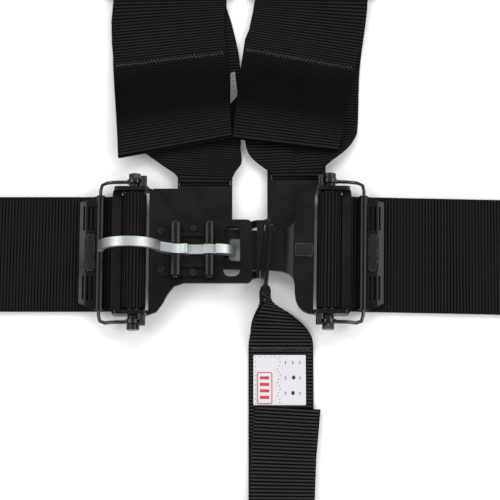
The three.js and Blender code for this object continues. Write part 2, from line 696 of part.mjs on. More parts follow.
function slideAdjuster(width) {
  const half = width / 2 + 6.5;
  const shape = rectangle(0, adjusterLength, -half, half, 4);
  const slotHalf = width / 2 + 1;
  const slots = [[5, 14], [20, rearBarX]];
  shape.holes.push(...slots.map(([x0, x1]) => rectangle(x0, x1, -slotHalf, slotHalf, 1.5)));
  const frame = plate(shape, slideZ - tabThickness / 2, tabThickness, 3);
  const lip = across(rectangle(0, 3, slideZ - tabThickness / 2, slideZ + 0.5, 0.3), -half + 4, half - 4, 2);
  return union(frame, lip);
}

// Folded webbing with the loop that holds its anchor bracket.
function bundle(width, rearLoop) {
  const folds = across(rectangle(0, bundleLength, bundleBottom, bundleTop, 4), -width / 2, width / 2, 4);
  const low = bundleTop + webThickness / 2 + 0.45;
  const high = low + bracketThickness + webThickness + 0.8;
  const turn = arc(21.2, (low + high) / 2, (high - low) / 2, -90, 90, 8);
  const held = band([[7, low], ...turn, [7, high]], webThickness);
  const root = block(6, 11, -width / 2 + 0.4, width / 2 - 0.4, bundleTop - 1, high + 0.4);
  const pieces = [folds, root, across(held, -width / 2, width / 2)];
  if (rearLoop) {
    const turnX = rearBarX - adjusterGap + 0.6;
    const line = [[4, lowStrap + 2], [-1, lowStrap], ...arc(turnX, slideZ, slideRadius, 270, 90, 6),
      [4, slideZ + slideRadius]];
    pieces.push(across(band(line, webThickness), -width / 2, width / 2));
  }
  return union(...pieces);
}

function keeper(width) {
  const inner = width / 2 + gap;
  const outer = inner + keeperThickness;
  const ring = rectangle(-outer, outer, 0, bundleTop + gap + keeperThickness, 1.5);
  ring.holes.push(rectangle(-inner, inner, keeperThickness, bundleTop + gap, 0.5));
  return along(ring, 46, 64, 2);
}

function bracket(width) {
  const half = width / 2 + 7;
  const holeX = 51;
  const path = new THREE.Path();
  path.moveTo(14, 0);
  path.lineTo(14, half - 3);
  path.quadraticCurveTo(14, half, 17, half);
  path.lineTo(29, half);
  path.quadraticCurveTo(34, half - 2, 38, Math.max(half - 12, 18));
  path.lineTo(holeX + 4, 15);
  path.absarc(holeX, 0, 15.5, 75 * degree, 0, true);
  const shape = symmetric(path, 6);
  shape.holes.push(rectangle(20, 27.5, -width / 2 - 0.8, width / 2 + 0.8, 1));
  const hole = new THREE.Path();
  hole.absarc(holeX, 0, bracketHoleRadius, 0, 2 * Math.PI);
  shape.holes.push(hole);
  const low = bundleTop + webThickness + 0.45 + 0.4;
  return plate(shape, low, bracketThickness, 6);
}

function addStoredEnd(strapName, width, seat, rearLoop) {
  add(`${strapName}_stored_webbing`, bundle(width, rearLoop), webbing(), seat);
  add(`${strapName}_keeper_band`, keeper(width), webbing(), seat);
  add(`${strapName}_anchor_bracket`, bracket(width), blackSteel(), seat);
}

// ---- assembly -----------------------------------------------------------------------------

add('latch_plate', latchPlate(), blackSteel(), latchSeat);
add('lever_base', leverBase(), blackSteel());
rivetPlaces.forEach((place, i) => add(`base_rivet_${i + 1}`, baseRivet(place), blackSteel()));
add('lever_pin', crossPin(leverPinX), blackSteel());
add('claw_pin', crossPin(clawPinX), blackSteel());
add('latch_lever', latchLever(), zinc());
add('latch_claw', latchClaw(), zinc());
add('spring_seat', springSeat(), blackSteel());
add('claw_spring', clawSpring(), zinc());
add('link_plate', linkPlate(), blackSteel(), linkSeat);
add('link_badge', linkBadge(), blackSteel(), linkSeat);
add('left_shoulder_tab', leftShoulderTab(), blackSteel());
add('right_shoulder_tab', rightShoulderTab(), blackSteel());
add('crotch_tab', crotchTab(), blackSteel());

addAdjuster('left', latchSeat);
addAdjuster('right', linkSeat);

const strapHeadroom = 1.2; // from a lap strap's end to its stored webbing
const leftReach = storedEndX - bundleLength + latchSeat.x - strapHeadroom;
const rightReach = storedEndX - bundleLength - linkSeat.x - strapHeadroom;
add('left_lap_strap', lapStrap(leftReach, 30), webbing(), latchSeat);
add('right_lap_strap', lapStrap(rightReach, 30), webbing(), linkSeat);

const rightEndY = linkSeat.y + rightReach * Math.sin(linkSeat.turn);
addStoredEnd('left_lap', lapWidth, { x: bundleLength - storedEndX, y: 0, turn: Math.PI }, false);
addStoredEnd('right_lap', lapWidth, { x: storedEndX - bundleLength, y: rightEndY, turn: 0 }, false);

// Rows of a shoulder strap, each [inner edge, distance past the lap strap's edge, height, how much
// narrower than the full width, thickness, turn]; side is -1 for the left strap and 1 for the right.
function shoulderRows(side, rows) {
  return rows.map(([innerX, past, z, gathered, thickness, turn]) => {
    const width = lapWidth - gathered;
    return [innerX + (side * width) / 2, lapHalf + past, z, width, thickness, turn];
  });
}

const leftStrapX = -15.9 - lapHalf; // middle of each shoulder strap at its adjuster
const rightStrapX = 3.4 + lapHalf;
const flat = webThickness;
const nearAdjuster = adjusterY - lapHalf;

add('left_shoulder_strap', shoulderStrap([-45.8, -13.6, lapHalf + 11.3], shoulderRows(-1, [
  [-3.7, 22.4, 3.7, 24.2, 6.0, -4], [-5.2, 27.9, 3.3, 10.2, 5.2, -7], [-6.2, 35.9, 2.1, 2.2, 3.2, -6],
  [-6.1, 47.9, lowStrap, 0, flat, -4], [-6.7, 89.9, lowStrap, 0, flat, 3],
  [-12.3, nearAdjuster - 18, lowStrap, 0, flat, 7], [-15.9, nearAdjuster - 2, lowStrap, 0, flat, 2],
  [-15.9, nearAdjuster + 18, lowStrap, 0, flat, 0],
])), webbing());
add('right_shoulder_strap', shoulderStrap([15, 45, lapHalf + 15.5], shoulderRows(1, [
  [4.6, 25.9, 3.7, 26.2, 6.0, 3], [-2, 30.9, 3.3, 10.2, 5.2, 2], [-4.2, 38.9, 2.1, 2.2, 3.2, -1],
  [-4.3, 49.9, lowStrap, 0, flat, -3], [-2.5, 89.9, lowStrap, 0, flat, -5],
  [1.3, nearAdjuster - 18, lowStrap, 0, flat, -5], [3.3, nearAdjuster - 2, lowStrap, 0, flat, -1],
  [3.4, nearAdjuster + 18, lowStrap, 0, flat, 0],
])), webbing());

const hem = 2 * webThickness + gap; // a tail's end, turned under and sewn
add('left_shoulder_tail', strap([...tailRows(leftStrapX, adjusterY, 1, lapWidth), ...shoulderRows(-1, [
  [-17.4, nearAdjuster - 16, 4.0, 0, flat, 5], [-16.9, 111.9, topStrap + 0.3, 0, flat, 6],
  [-15.8, 93.9, topStrap + 0.3, 0, flat, 7], [-15.6, 91.9, 4.4, 0, hem, 7],
  [-13.7, 61.9, 5.6, 0, hem + 1.6, 8.6], [-12.3, 37.9, 8.1, 1, hem + 0.4, 10.4],
  [-12, 32.4, 8.9, 1.2, hem, 10.7],
])]), webbing());
add('right_shoulder_tail', strap([...tailRows(rightStrapX, adjusterY, 1, lapWidth), ...shoulderRows(1, [
  [1.7, nearAdjuster - 16, 4.0, 0, flat, -6], [-1.1, 111.9, topStrap + 0.3, 0, flat, -9],
  [-5, 94.4, topStrap + 0.3, 0, flat, -10.5], [-5.3, 92.4, 4.4, 0, hem, -10.5],
  [-8.85, 61.9, 5.6, 2.7, hem + 1.6, -9], [-11.55, 39.9, 8.1, 4.7, hem + 0.4, -7.4],
  [-11.85, 34.3, 8.9, 5.7, hem, -7],
])]), webbing());

// An adjustable strap's slide adjuster and stored end, in line with the strap.
function addOuterEnd(name, width, x, direction) {
  const turn = (direction * Math.PI) / 2;
  add(`${name}_adjuster`, slideAdjuster(width), blackSteel(), { x, y: direction * adjusterY, turn });
  addStoredEnd(name, width, { x, y: direction * (storedEndY - bundleLength), turn }, true);
}
addOuterEnd('left_shoulder', lapWidth, leftStrapX, 1);
addOuterEnd('right_shoulder', lapWidth, rightStrapX, 1);

const crotchX = 20; // middle of the crotch strap where it lies flat

// Crotch webbing: gathered through the tab's lower slot, then fanned out flat.
function crotchStrap() {
  const bunch = block(3.4, 17.4, -38, -19.2, 1.2, 15.6);
  const gathered = cut(bunch, crotchTab(gap));
  const fan = strap([
    [12, -34, 7.2, 14, 12.2, 180], [17, -42, 5.0, 31, 8.6, 178], [19.2, -50, 3.0, 38, 5, 179],
    [crotchX, -58, 1.6, crotchWidth - 1, 2.6, 180], [crotchX, -65.5, lowStrap, crotchWidth, flat, 180],
    [crotchX, 6 - adjusterY, lowStrap, crotchWidth, flat, 180],
    [crotchX, -adjusterY - 18, lowStrap, crotchWidth, flat, 180],
  ]);
  return union(gathered, fan);
}
add('crotch_strap', crotchStrap(), webbing());
add('crotch_tail', strap([
  ...tailRows(crotchX, -adjusterY, -1, crotchWidth),
  [crotchX, 15 - adjusterY, topStrap, crotchWidth, flat, 180],
  [crotchX + 1.4, -132, topStrap, crotchWidth, flat, 177.6],
  [crotchX + 4.4, -100.6, topStrap, crotchWidth, flat, 176.5],
]), webbing());
addOuterEnd('crotch', crotchWidth, crotchX, -1);

const labelBottom = topStrap - webThickness / 2;
const labelThickness = 0.3;
const crotchLabel = rectangle(crotchX - 17.8, crotchX + 16, -99, -66.6, 0.8);
add('crotch_label', plate(crotchLabel, labelBottom, labelThickness, 2), woven());
const sliver = [[-13.2, 63.9], [-8.2, 69.9], [-10.2, 86.4], [-13, 85.4]];
const shoulderLabel = polygon(sliver.map(([x, y]) => [x, lapHalf + y]));
add('shoulder_label', plate(shoulderLabel, labelBottom, labelThickness), woven());

export default harness;
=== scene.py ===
# %% [markdown]
# # A racing harness, laid flat and fastened
# The steel parts of a latch-and-link harness are stamped plates, pins and bent wire, and their
# sizes are settled by the packed model. Blender's share is the finish: rounded edges, powder
# coat and zinc on the steel, and all of the webbing, which is woven, folded, sewn and gathered.
# We start by loading the packed model.

# %% Load the fixed frame
import json
import math

import bmesh
import bpy
import numpy as np
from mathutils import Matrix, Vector


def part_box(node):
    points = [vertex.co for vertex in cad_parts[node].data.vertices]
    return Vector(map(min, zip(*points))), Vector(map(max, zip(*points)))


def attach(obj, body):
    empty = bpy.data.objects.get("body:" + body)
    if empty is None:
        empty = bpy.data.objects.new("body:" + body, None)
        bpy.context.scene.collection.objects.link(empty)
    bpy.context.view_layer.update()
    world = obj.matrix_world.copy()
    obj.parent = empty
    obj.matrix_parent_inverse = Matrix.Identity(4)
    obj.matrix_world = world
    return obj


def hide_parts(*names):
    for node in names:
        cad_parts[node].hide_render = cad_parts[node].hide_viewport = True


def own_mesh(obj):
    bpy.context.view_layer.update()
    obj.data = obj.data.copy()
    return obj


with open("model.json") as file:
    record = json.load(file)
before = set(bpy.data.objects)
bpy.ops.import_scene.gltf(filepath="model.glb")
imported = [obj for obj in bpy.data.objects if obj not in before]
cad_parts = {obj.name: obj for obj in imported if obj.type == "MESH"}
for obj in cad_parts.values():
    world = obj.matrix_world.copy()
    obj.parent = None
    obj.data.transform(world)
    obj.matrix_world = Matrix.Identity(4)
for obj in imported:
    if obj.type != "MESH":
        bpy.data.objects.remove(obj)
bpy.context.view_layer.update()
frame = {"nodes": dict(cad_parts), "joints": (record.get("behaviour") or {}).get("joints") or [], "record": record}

MM = 0.001
nodes = frame["nodes"]

# %% [markdown]
# ## Camera, floor and light
# The harness is seen from above, tipped a little towards the crotch strap. A long lens from a
# metre away keeps the straps nearly parallel. The eye is placed from an azimuth and an elevation,
# so the angle can be read straight from the numbers.

# %% Camera
VIEW_ELEVATION = math.radians(79)
VIEW_DISTANCE = 1.0
VIEW_WIDTH = 0.325  # how much of the harness the frame takes in
AIM = Vector((0, 0.001, 0.011))

lens = bpy.data.cameras.new("view")
lens.sensor_width = 36
lens.lens = lens.sensor_width * VIEW_DISTANCE / VIEW_WIDTH
camera = bpy.data.objects.new("view", lens)
away = Vector((0, -math.cos(VIEW_ELEVATION), math.sin(VIEW_ELEVATION)))
camera.location = AIM + VIEW_DISTANCE * away
camera.rotation_euler = (-away).to_track_quat("-Z", "Y").to_euler()
bpy.context.scene.collection.objects.link(camera)
bpy.context.scene.camera = camera
print("lens", round(lens.lens, 1), "mm")

# %% [markdown]
# Black things are shown by what they reflect. Four long soft boxes stand round the harness, low
# enough that the flat plates mirror the dim room above and stay black, while every rib of the
# webbing catches a thin light line on its flank. The floor is white and bright, with soft shadows.

# %% Floor and lights
FLOOR_HALF = 3.0
floor_mesh = bpy.data.meshes.new("floor")
corners = [(x * FLOOR_HALF, y * FLOOR_HALF, 0) for x, y in ((-1, -1), (1, -1), (1, 1), (-1, 1))]
floor_mesh.from_pydata(corners, [], [(0, 1, 2, 3)])
floor = bpy.data.objects.new("floor", floor_mesh)
bpy.context.scene.collection.objects.link(floor)
paper = bpy.data.materials.new("studio_paper")
paper.use_nodes = True
paper_shader = paper.node_tree.nodes["Principled BSDF"]
paper_shader.inputs["Base Color"].default_value = (0.9, 0.9, 0.9, 1)
paper_shader.inputs["Roughness"].default_value = 0.9
paper_shader.inputs["Specular IOR Level"].default_value = 0.1
floor_mesh.materials.append(paper)


BOX_DISTANCE = 1.7


def soft_box(name, azimuth, elevation, size, watts):
    """A rectangular light that faces the harness from a compass direction and a height."""
    light = bpy.data.lights.new(name, "AREA")
    light.shape = "RECTANGLE"
    light.size, light.size_y = size
    light.energy = watts
    lamp = bpy.data.objects.new(name, light)
    a, e = math.radians(azimuth), math.radians(elevation)
    back = Vector((math.cos(a) * math.cos(e), math.sin(a) * math.cos(e), math.sin(e)))
    lamp.location = back * BOX_DISTANCE
    lamp.rotation_euler = (-back).to_track_quat("-Z", "Y").to_euler()
    bpy.context.scene.collection.objects.link(lamp)


soft_box("right_box", 0, 42, (1.5, 0.9), 15)
soft_box("back_box", 90, 46, (1.6, 0.9), 17)
soft_box("left_box", 180, 42, (1.5, 0.9), 13)
soft_box("front_box", 270, 40, (1.6, 0.9), 11)

room = bpy.data.worlds.new("studio_room")
room.use_nodes = True
room.node_tree.nodes["Background"].inputs["Color"].default_value = (0.95, 0.97, 1.0, 1)
room.node_tree.nodes["Background"].inputs["Strength"].default_value = 0.22
bpy.context.scene.world = room
bpy.context.scene.view_settings.view_transform = "Standard"
print("4 soft boxes round the harness")

# %% [markdown]
# ## Finishes
# Several materials share the same effects, so each effect is a node group that is built once.
# `steel_skin` gives the faint orange peel of powder coat, its cloudiness and the rubbed edges.
# `woven_yarns` lays fine yarns over the ribs of a strap. A group puts out masks and heights only,
# and each material decides what they do to its own colour, roughness and bump.

# %% Node helpers


class Graph:
    """A short way to add and wire the nodes of one tree."""

    def __init__(self, tree):
        self.tree = tree

    def add(self, kind, **settings):
        node = self.tree.nodes.new(kind)
        for key, value in settings.items():
            setattr(node, key, value)
        return node

    def feed(self, socket, value):
        """Wires an output into a socket, or sets the socket to a plain value."""
        if isinstance(value, bpy.types.NodeSocket):
            self.tree.links.new(value, socket)
        else:
            socket.default_value = value

    def math(self, operation, first, second=0.0, clamp=False):
        node = self.add("ShaderNodeMath", operation=operation, use_clamp=clamp)
        self.feed(node.inputs[0], first)
        self.feed(node.inputs[1], second)
        return node.outputs[0]

    def noise(self, vector, scale, detail=2.0, roughness=0.5):
        node = self.add("ShaderNodeTexNoise")
        self.feed(node.inputs["Vector"], vector)
        self.feed(node.inputs["Scale"], scale)
        node.inputs["Detail"].default_value = detail
        node.inputs["Roughness"].default_value = roughness
        return node.outputs["Fac"]

    def spread(self, value, low, high, to_low=0.0, to_high=1.0):
        """Maps low..high to to_low..to_high, held at both ends."""
        node = self.add("ShaderNodeMapRange", clamp=True)
        self.feed(node.inputs["Value"], value)
        node.inputs["From Min"].default_value = low
        node.inputs["From Max"].default_value = high
        node.inputs["To Min"].default_value = to_low
        node.inputs["To Max"].default_value = to_high
        return node.outputs["Result"]

    def blend(self, mask, first, second):
        """first where the mask is 0 and second where it is 1, as colours."""
        node = self.add("ShaderNodeMix", data_type="RGBA")
        mix_a, mix_b, mix_result = node.inputs[6], node.inputs[7], node.outputs[2]
        self.feed(node.inputs["Factor"], mask)
        self.feed(mix_a, first)
        self.feed(mix_b, second)
        return mix_result


def effect_group(name, inputs, outputs):
    """A new shader group with float inputs, given as name and default, and named float outputs."""
    group = bpy.data.node_groups.new(name, "ShaderNodeTree")
    group.interface.new_socket("Vector", in_out="INPUT", socket_type="NodeSocketVector")
    for label, value in inputs.items():
        socket = group.interface.new_socket(label, in_out="INPUT", socket_type="NodeSocketFloat")
        socket.default_value = value
    for label in outputs:
        group.interface.new_socket(label, in_out="OUTPUT", socket_type="NodeSocketFloat")
    graph = Graph(group)
    return graph, graph.add("NodeGroupInput").outputs, graph.add("NodeGroupOutput").inputs


print("a graph can", [step for step in vars(Graph) if not step.startswith("_")])

# %% [markdown]
# ### The skin of coated steel
# The edge of a stamped plate is where its coat thins. Each metal piece carries a face attribute,
# `edge`, that is 1 on its rounded edges, so the group only has to break that band up with noise.

# %% steel_skin
PEEL_SCALE, CLOUD_SCALE, RUB_SCALE = 1600.0, 55.0, 420.0
graph, given, put = effect_group(
    "steel_skin", {"Peel Scale": PEEL_SCALE, "Cloud Scale": CLOUD_SCALE},
    ["Height", "Cloud", "Worn"])
peel = graph.noise(given["Vector"], given["Peel Scale"], 1.0)
cloud = graph.noise(given["Vector"], given["Cloud Scale"], 4.0)
edge = graph.add("ShaderNodeAttribute", attribute_name="edge")
rubbed = graph.spread(graph.noise(given["Vector"], RUB_SCALE, 3.0), 0.42, 0.62)
graph.feed(put["Height"], peel)
graph.feed(put["Cloud"], graph.spread(cloud, 0.3, 0.7))
graph.feed(put["Worn"], graph.math("MULTIPLY", edge.outputs["Fac"], rubbed))
STEEL_SKIN = graph.tree
print("group", STEEL_SKIN.name, [s.name for s in STEEL_SKIN.interface.items_tree])

# %% [markdown]
# ### Yarns
# Polyester webbing is warp yarns running along the strap over thick weft cords running across it.
# The cords are modelled as real ribs. The yarns are far finer, so they are a bump: a wave across
# the strap that shifts by half a yarn from one rib to the next, as a plain weave does. The
# strap's UV map holds millimetres across and along, so the yarns bend with every fold. The mask
# of rib crests is painted light and shade: 1 on top of each rib, where light catches, and 0 in the
# grooves, where shade falls. It also falls to painted shade where the strap's `rib` attribute says
# that the ribs are flat. The yarn mask is painted light on each yarn's crown, mixed with random fuzz.

# %% woven_yarns
YARN_WIDTH = 0.75  # of one warp yarn, in millimetres
RIB_PITCH = 2.05  # of the webbing's weft cords, in millimetres
FUZZ_SCALE, FUZZ_SHARE, CLOTH_CLOUD_SCALE = 2.6, 0.35, 0.035

graph, given, put = effect_group(
    "woven_yarns", {"Yarn Width": YARN_WIDTH, "Rib Pitch": RIB_PITCH},
    ["Height", "Yarn", "Crest", "Cloud"])
place = graph.add("ShaderNodeSeparateXYZ")
graph.feed(place.inputs[0], given["Vector"])
ribs_along = graph.math("DIVIDE", place.outputs["Y"], given["Rib Pitch"])
half_shift = graph.math("MULTIPLY", graph.math("FLOOR", graph.math("ADD", ribs_along, 0.5)), 0.5)
yarns_across = graph.math("DIVIDE", place.outputs["X"], given["Yarn Width"])
yarns_across = graph.math("ADD", yarns_across, half_shift)
yarn = graph.math("ABSOLUTE", graph.math("SINE", graph.math("MULTIPLY", yarns_across, math.pi)))
rib = graph.math("ABSOLUTE", graph.math("COSINE", graph.math("MULTIPLY", ribs_along, math.pi)))
stands = graph.add("ShaderNodeAttribute", attribute_name="rib")
fuzz = graph.noise(given["Vector"], FUZZ_SCALE, 3.0, 0.6)
woven = graph.math("MULTIPLY", yarn, rib)
graph.feed(put["Height"], graph.math("ADD", woven, graph.math("MULTIPLY", fuzz, FUZZ_SHARE)))
# Painted light on each warp yarn's crown, times random fuzz.
graph.feed(put["Yarn"], graph.math("MULTIPLY", yarn, fuzz))
# Painted light and shade: lit rib crests are 1, while shaded grooves and flat ribs are 0.
crest_light = graph.spread(rib, 0.5, 0.95)
graph.feed(put["Crest"], graph.math("MULTIPLY", crest_light, stands.outputs["Fac"]))
cloud = graph.noise(given["Vector"], CLOTH_CLOUD_SCALE, 3.0)
graph.feed(put["Cloud"], graph.spread(cloud, 0.35, 0.65))
WOVEN_YARNS = graph.tree
print("group", WOVEN_YARNS.name, [s.name for s in WOVEN_YARNS.interface.items_tree])

# %% [markdown]
# ### Steel, zinc and wire
# Powder coat is a black plastic skin: not metallic, half gloss, a warm black. Its worn edges are
# only a little paler, because this harness is new. The lever is bright zinc plate, so it is
# metallic, with a soft cloudy roughness. The real lever has fine lines left by the press; here its
# bump is only a coarser peel than the coat's.

# %% Metal materials


def new_material(name):
    """An empty material: its graph and its Principled shader, wired to the output."""
    material = bpy.data.materials.new(name)
    material.use_nodes = True
    material.node_tree.nodes.clear()
    graph = Graph(material.node_tree)
    shader = graph.add("ShaderNodeBsdfPrincipled")
    output = graph.add("ShaderNodeOutputMaterial")
    graph.feed(output.inputs["Surface"], shader.outputs["BSDF"])
    return material, graph, shader


def use_group(graph, group, vector, **values):
    node = graph.add("ShaderNodeGroup", node_tree=group)
    graph.feed(node.inputs["Vector"], vector)
    for label, value in values.items():
        node.inputs[label.replace("_", " ")].default_value = value
    return node.outputs


def bump(graph, shader, height, strength, distance):
    node = graph.add("ShaderNodeBump")
    node.inputs["Strength"].default_value = strength
    node.inputs["Distance"].default_value = distance
    graph.feed(node.inputs["Height"], height)
    graph.feed(shader.inputs["Normal"], node.outputs["Normal"])


PEEL_STRENGTH = 0.35


def metal(name, dark, light, worn, gloss, metallic=0.0, peel=PEEL_SCALE, relief=0.00004,
          specular=0.5):
    """dark and light are the two ends of its cloudy colour, and gloss the two of its roughness."""
    material, graph, shader = new_material(name)
    where = graph.add("ShaderNodeTexCoord").outputs["Object"]
    skin = use_group(graph, STEEL_SKIN, where, Peel_Scale=peel)
    coat = graph.blend(skin["Cloud"], (*dark, 1), (*light, 1))
    graph.feed(shader.inputs["Base Color"], graph.blend(skin["Worn"], coat, (*worn, 1)))
    graph.feed(shader.inputs["Roughness"], graph.spread(skin["Cloud"], 0, 1, *gloss))
    shader.inputs["Metallic"].default_value = metallic
    shader.inputs["Specular IOR Level"].default_value = specular
    bump(graph, shader, skin["Height"], PEEL_STRENGTH, relief)
    return material


POWDER_COAT = metal("powder_coat", (0.0034, 0.0033, 0.0026), (0.0058, 0.0056, 0.0045),
                    (0.018, 0.0175, 0.016), (0.24, 0.32), specular=0.3)
WIRE_BLACK = metal("wire_black", (0.006, 0.006, 0.006), (0.01, 0.01, 0.01), (0.04, 0.04, 0.04),
                   (0.2, 0.3))
OXIDE = metal("black_oxide", (0.012, 0.012, 0.0125), (0.02, 0.02, 0.021), (0.09, 0.09, 0.09),
              (0.24, 0.34), 0.35, specular=0.4)
BADGE = metal("badge_satin", (0.007, 0.0068, 0.006), (0.01, 0.0096, 0.009), (0.2, 0.185, 0.15),
              (0.3, 0.36), specular=0.35)
SPRING_WIRE = metal("spring_wire", (0.34, 0.34, 0.34), (0.45, 0.45, 0.45), (0.6, 0.6, 0.6),
                    (0.25, 0.35), 1.0)
ZINC = metal("zinc_plate", (0.45, 0.49, 0.5), (0.56, 0.59, 0.6), (0.68, 0.7, 0.71), (0.4, 0.52),
             1.0, 700.0, 0.00006)
print("6 metal finishes")

# %% [markdown]
# ### Webbing, thread and label cloth
# Black polyester isn't quite black: the crests of its ribs catch a cool dark grey light, and the
# grooves between them send back hardly any light. Both are painted into the colour: each cloth has
# one colour of painted shade for the grooves and flat ribs, and two yarn colours of painted
# highlight for the crests, paler on each yarn's crown. Its specular level is low, because
# thousands of fibres scatter light, not mirror it.

# %% Cloth materials


def strap_space(graph):
    """The strap's own millimetres: across in X and along in Y."""
    return graph.add("ShaderNodeUVMap", uv_map="strap").outputs["UV"]


WEAVE_STRENGTH = 0.6


def cloth(name, groove_shade, low, high, yarn_width, pitch, relief, specular=0.05, gloss=(0.55, 0.75)):
    """The first colour is painted shade in the grooves and on flat ribs; low and high, the darker and paler yarn
    colours on the crests, are painted highlight.
    """
    material, graph, shader = new_material(name)
    weave = use_group(graph, WOVEN_YARNS, strap_space(graph),
                      Yarn_Width=yarn_width, Rib_Pitch=pitch)
    # Painted highlight on the rib crests, paler on each yarn's crown; painted shade between the ribs.
    yarns = graph.blend(weave["Yarn"], (*low, 1), (*high, 1))
    graph.feed(shader.inputs["Base Color"], graph.blend(weave["Crest"], (*groove_shade, 1), yarns))
    graph.feed(shader.inputs["Roughness"], graph.spread(weave["Cloud"], 0, 1, *gloss))
    shader.inputs["Specular IOR Level"].default_value = specular
    bump(graph, shader, weave["Height"], WEAVE_STRENGTH, relief)
    return material


CROTCH_PITCH = 2.25  # the narrow webbing is a coarser weave
ELASTIC_PITCH = 1.2
SATIN_PITCH = 0.3
WEBBING = cloth("black_webbing", (0.0018, 0.0018, 0.002), (0.0068, 0.007, 0.0078),
                (0.03, 0.031, 0.035), YARN_WIDTH, RIB_PITCH, 0.00012, 0.03)
CROTCH_WEBBING = cloth("narrow_webbing", (0.0014, 0.0014, 0.0015), (0.013, 0.0135, 0.0145),
                       (0.062, 0.064, 0.07), YARN_WIDTH, CROTCH_PITCH, 0.00014, 0.03)
ELASTIC = cloth("black_elastic", (0.003, 0.003, 0.0034), (0.01, 0.01, 0.011), (0.03, 0.03, 0.032),
                1.0, ELASTIC_PITCH, 0.0002)
LABEL_CLOTH = cloth("label_cloth", (0.62, 0.62, 0.65), (0.6, 0.6, 0.63), (0.7, 0.7, 0.73),
                    SATIN_PITCH, SATIN_PITCH, 0.00004)
# White label cloth darkened to grey: painted shade, for the label sliver in the pull tail's shadow.
SHADED_LABEL = cloth("label_cloth_painted_shade", (0.26, 0.26, 0.265), (0.24, 0.24, 0.245), (0.3, 0.3, 0.305),
                   SATIN_PITCH, SATIN_PITCH, 0.00004)


WANDER_SCALE, TWIST_SCALE = 900.0, 3000.0


def plain_thread(name, dark, light):
    """Twisted thread or ink: a colour that wanders a little, with a fine twist in the bump."""
    material, graph, shader = new_material(name)
    where = graph.add("ShaderNodeTexCoord").outputs["Object"]
    wander = graph.spread(graph.noise(where, WANDER_SCALE, 2.0), 0.35, 0.65)
    graph.feed(shader.inputs["Base Color"], graph.blend(wander, (*dark, 1), (*light, 1)))
    graph.feed(shader.inputs["Roughness"], graph.spread(wander, 0, 1, 0.5, 0.7))
    bump(graph, shader, graph.noise(where, TWIST_SCALE, 1.0), 0.4, 0.00005)
    return material


THREAD = plain_thread("bonded_thread", (0.016, 0.016, 0.018), (0.075, 0.076, 0.08))
BLACK_INK = plain_thread("label_black", (0.008, 0.008, 0.009), (0.016, 0.016, 0.018))
RED_INK = plain_thread("label_red", (0.5, 0.02, 0.03), (0.62, 0.03, 0.045))
GREY_INK = plain_thread("label_grey", (0.12, 0.12, 0.13), (0.2, 0.2, 0.21))
print("5 cloths, 1 thread, 3 inks")

# %% [markdown]
# ## Steel parts
# The packed solids have the true shapes but knife-sharp edges, which no stamping has. Each one is
# copied, its flat faces are joined back into single faces, and every sharp edge is rounded. A
# weighted normal keeps the flats flat beside their new rounds. The new faces get the `edge` mark.
# Wire and the spring are round already, so they keep their edges.

# %% finish_metal
SHARP = math.radians(32)  # an edge that turns more than this gets a round
SHADED_SHARP = math.radians(38)
SAME_PLANE = math.radians(1)
WELD = 2e-6  # corners closer than this are one corner, in metres


def finish_metal(node, material, body, round_mm):
    """A copy of a CAD node with rounded edges, standing for it and riding on its body."""
    shape = bmesh.new()
    shape.from_mesh(nodes[node].data)
    bmesh.ops.remove_doubles(shape, verts=shape.verts, dist=WELD)
    bmesh.ops.dissolve_limit(shape, angle_limit=SAME_PLANE, verts=shape.verts, edges=shape.edges)
    mark = shape.faces.layers.float.new("edge")
    sharp = [e for e in shape.edges if len(e.link_faces) == 2 and e.calc_face_angle(0) > SHARP]
    if round_mm:
        flats = set(shape.faces)
        made = bmesh.ops.bevel(shape, geom=sharp, offset=round_mm * MM, offset_type="OFFSET",
                               segments=2, profile=0.5, affect="EDGES", clamp_overlap=True)
        for face in made["faces"]:
            face[mark] = 0.0 if face in flats else 1.0
    bmesh.ops.triangulate(shape, faces=[f for f in shape.faces if len(f.verts) > 4])
    mesh = bpy.data.meshes.new(f"{node}_finished")
    shape.to_mesh(mesh)
    shape.free()
    mesh.polygons.foreach_set("use_smooth", [True] * len(mesh.polygons))
    mesh.set_sharp_from_angle(angle=SHADED_SHARP)
    mesh.materials.clear()
    mesh.materials.append(material)
    piece = bpy.data.objects.new(f"{node}_finished", mesh)
    bpy.context.scene.collection.objects.link(piece)
    keep_flat = piece.modifiers.new("keep_flat", "WEIGHTED_NORMAL")
    keep_flat.keep_sharp = True
    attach(piece, body)
    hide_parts(node)
    return piece


print("edges that turn more than", round(math.degrees(SHARP)), "degrees are rounded")

# %% [markdown]
# The record gives each node a material slot and a body. A slot settles the finish and how far its
# edges are rounded, in millimetres. The claw's spring only gets a mesh of its own; a real coil
# spring is squeezed towards its foot as the claw lifts.

# %% Finish the steel
STEEL_FINISH = {
    "black_steel": (POWDER_COAT, 0.3),
    "dark_fastener": (OXIDE, 0.25),
    "badge": (BADGE, 0.18),
    "zinc_plate": (ZINC, 0.5),
    "spring_wire": (SPRING_WIRE, 0.0),
}
slot_of = {part["node"]: part["material_slot"] for part in frame["record"]["subparts"]}
bodies = frame["record"]["behaviour"]["bodies"]
body_of = {node: body for body, members in bodies.items() for node in members}
for node, slot in slot_of.items():
    if slot in STEEL_FINISH:
        material, round_mm = STEEL_FINISH[slot]
        if node.endswith("_bail"):
            material, round_mm = WIRE_BLACK, 0.0
        piece = finish_metal(node, material, body_of[node], round_mm)
        if node == "claw_spring":
            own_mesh(piece)
print(sum(slot in STEEL_FINISH for slot in slot_of.values()), "steel pieces finished")

# %% [markdown]
# ## Webbing
# A strap is a long ribbon that bends, twists and gathers. It is described by a few stops: a point
# on its centreline, the direction of its width, its width, its thickness and how strongly its
# ribs stand up. The walk between them is softened like a real bend and then cut into even steps,
# six to a rib, so the ribs are real geometry that follows every fold. A strap that heads for -Y
# has its width turned by 180 degrees, which keeps its upper face upwards.

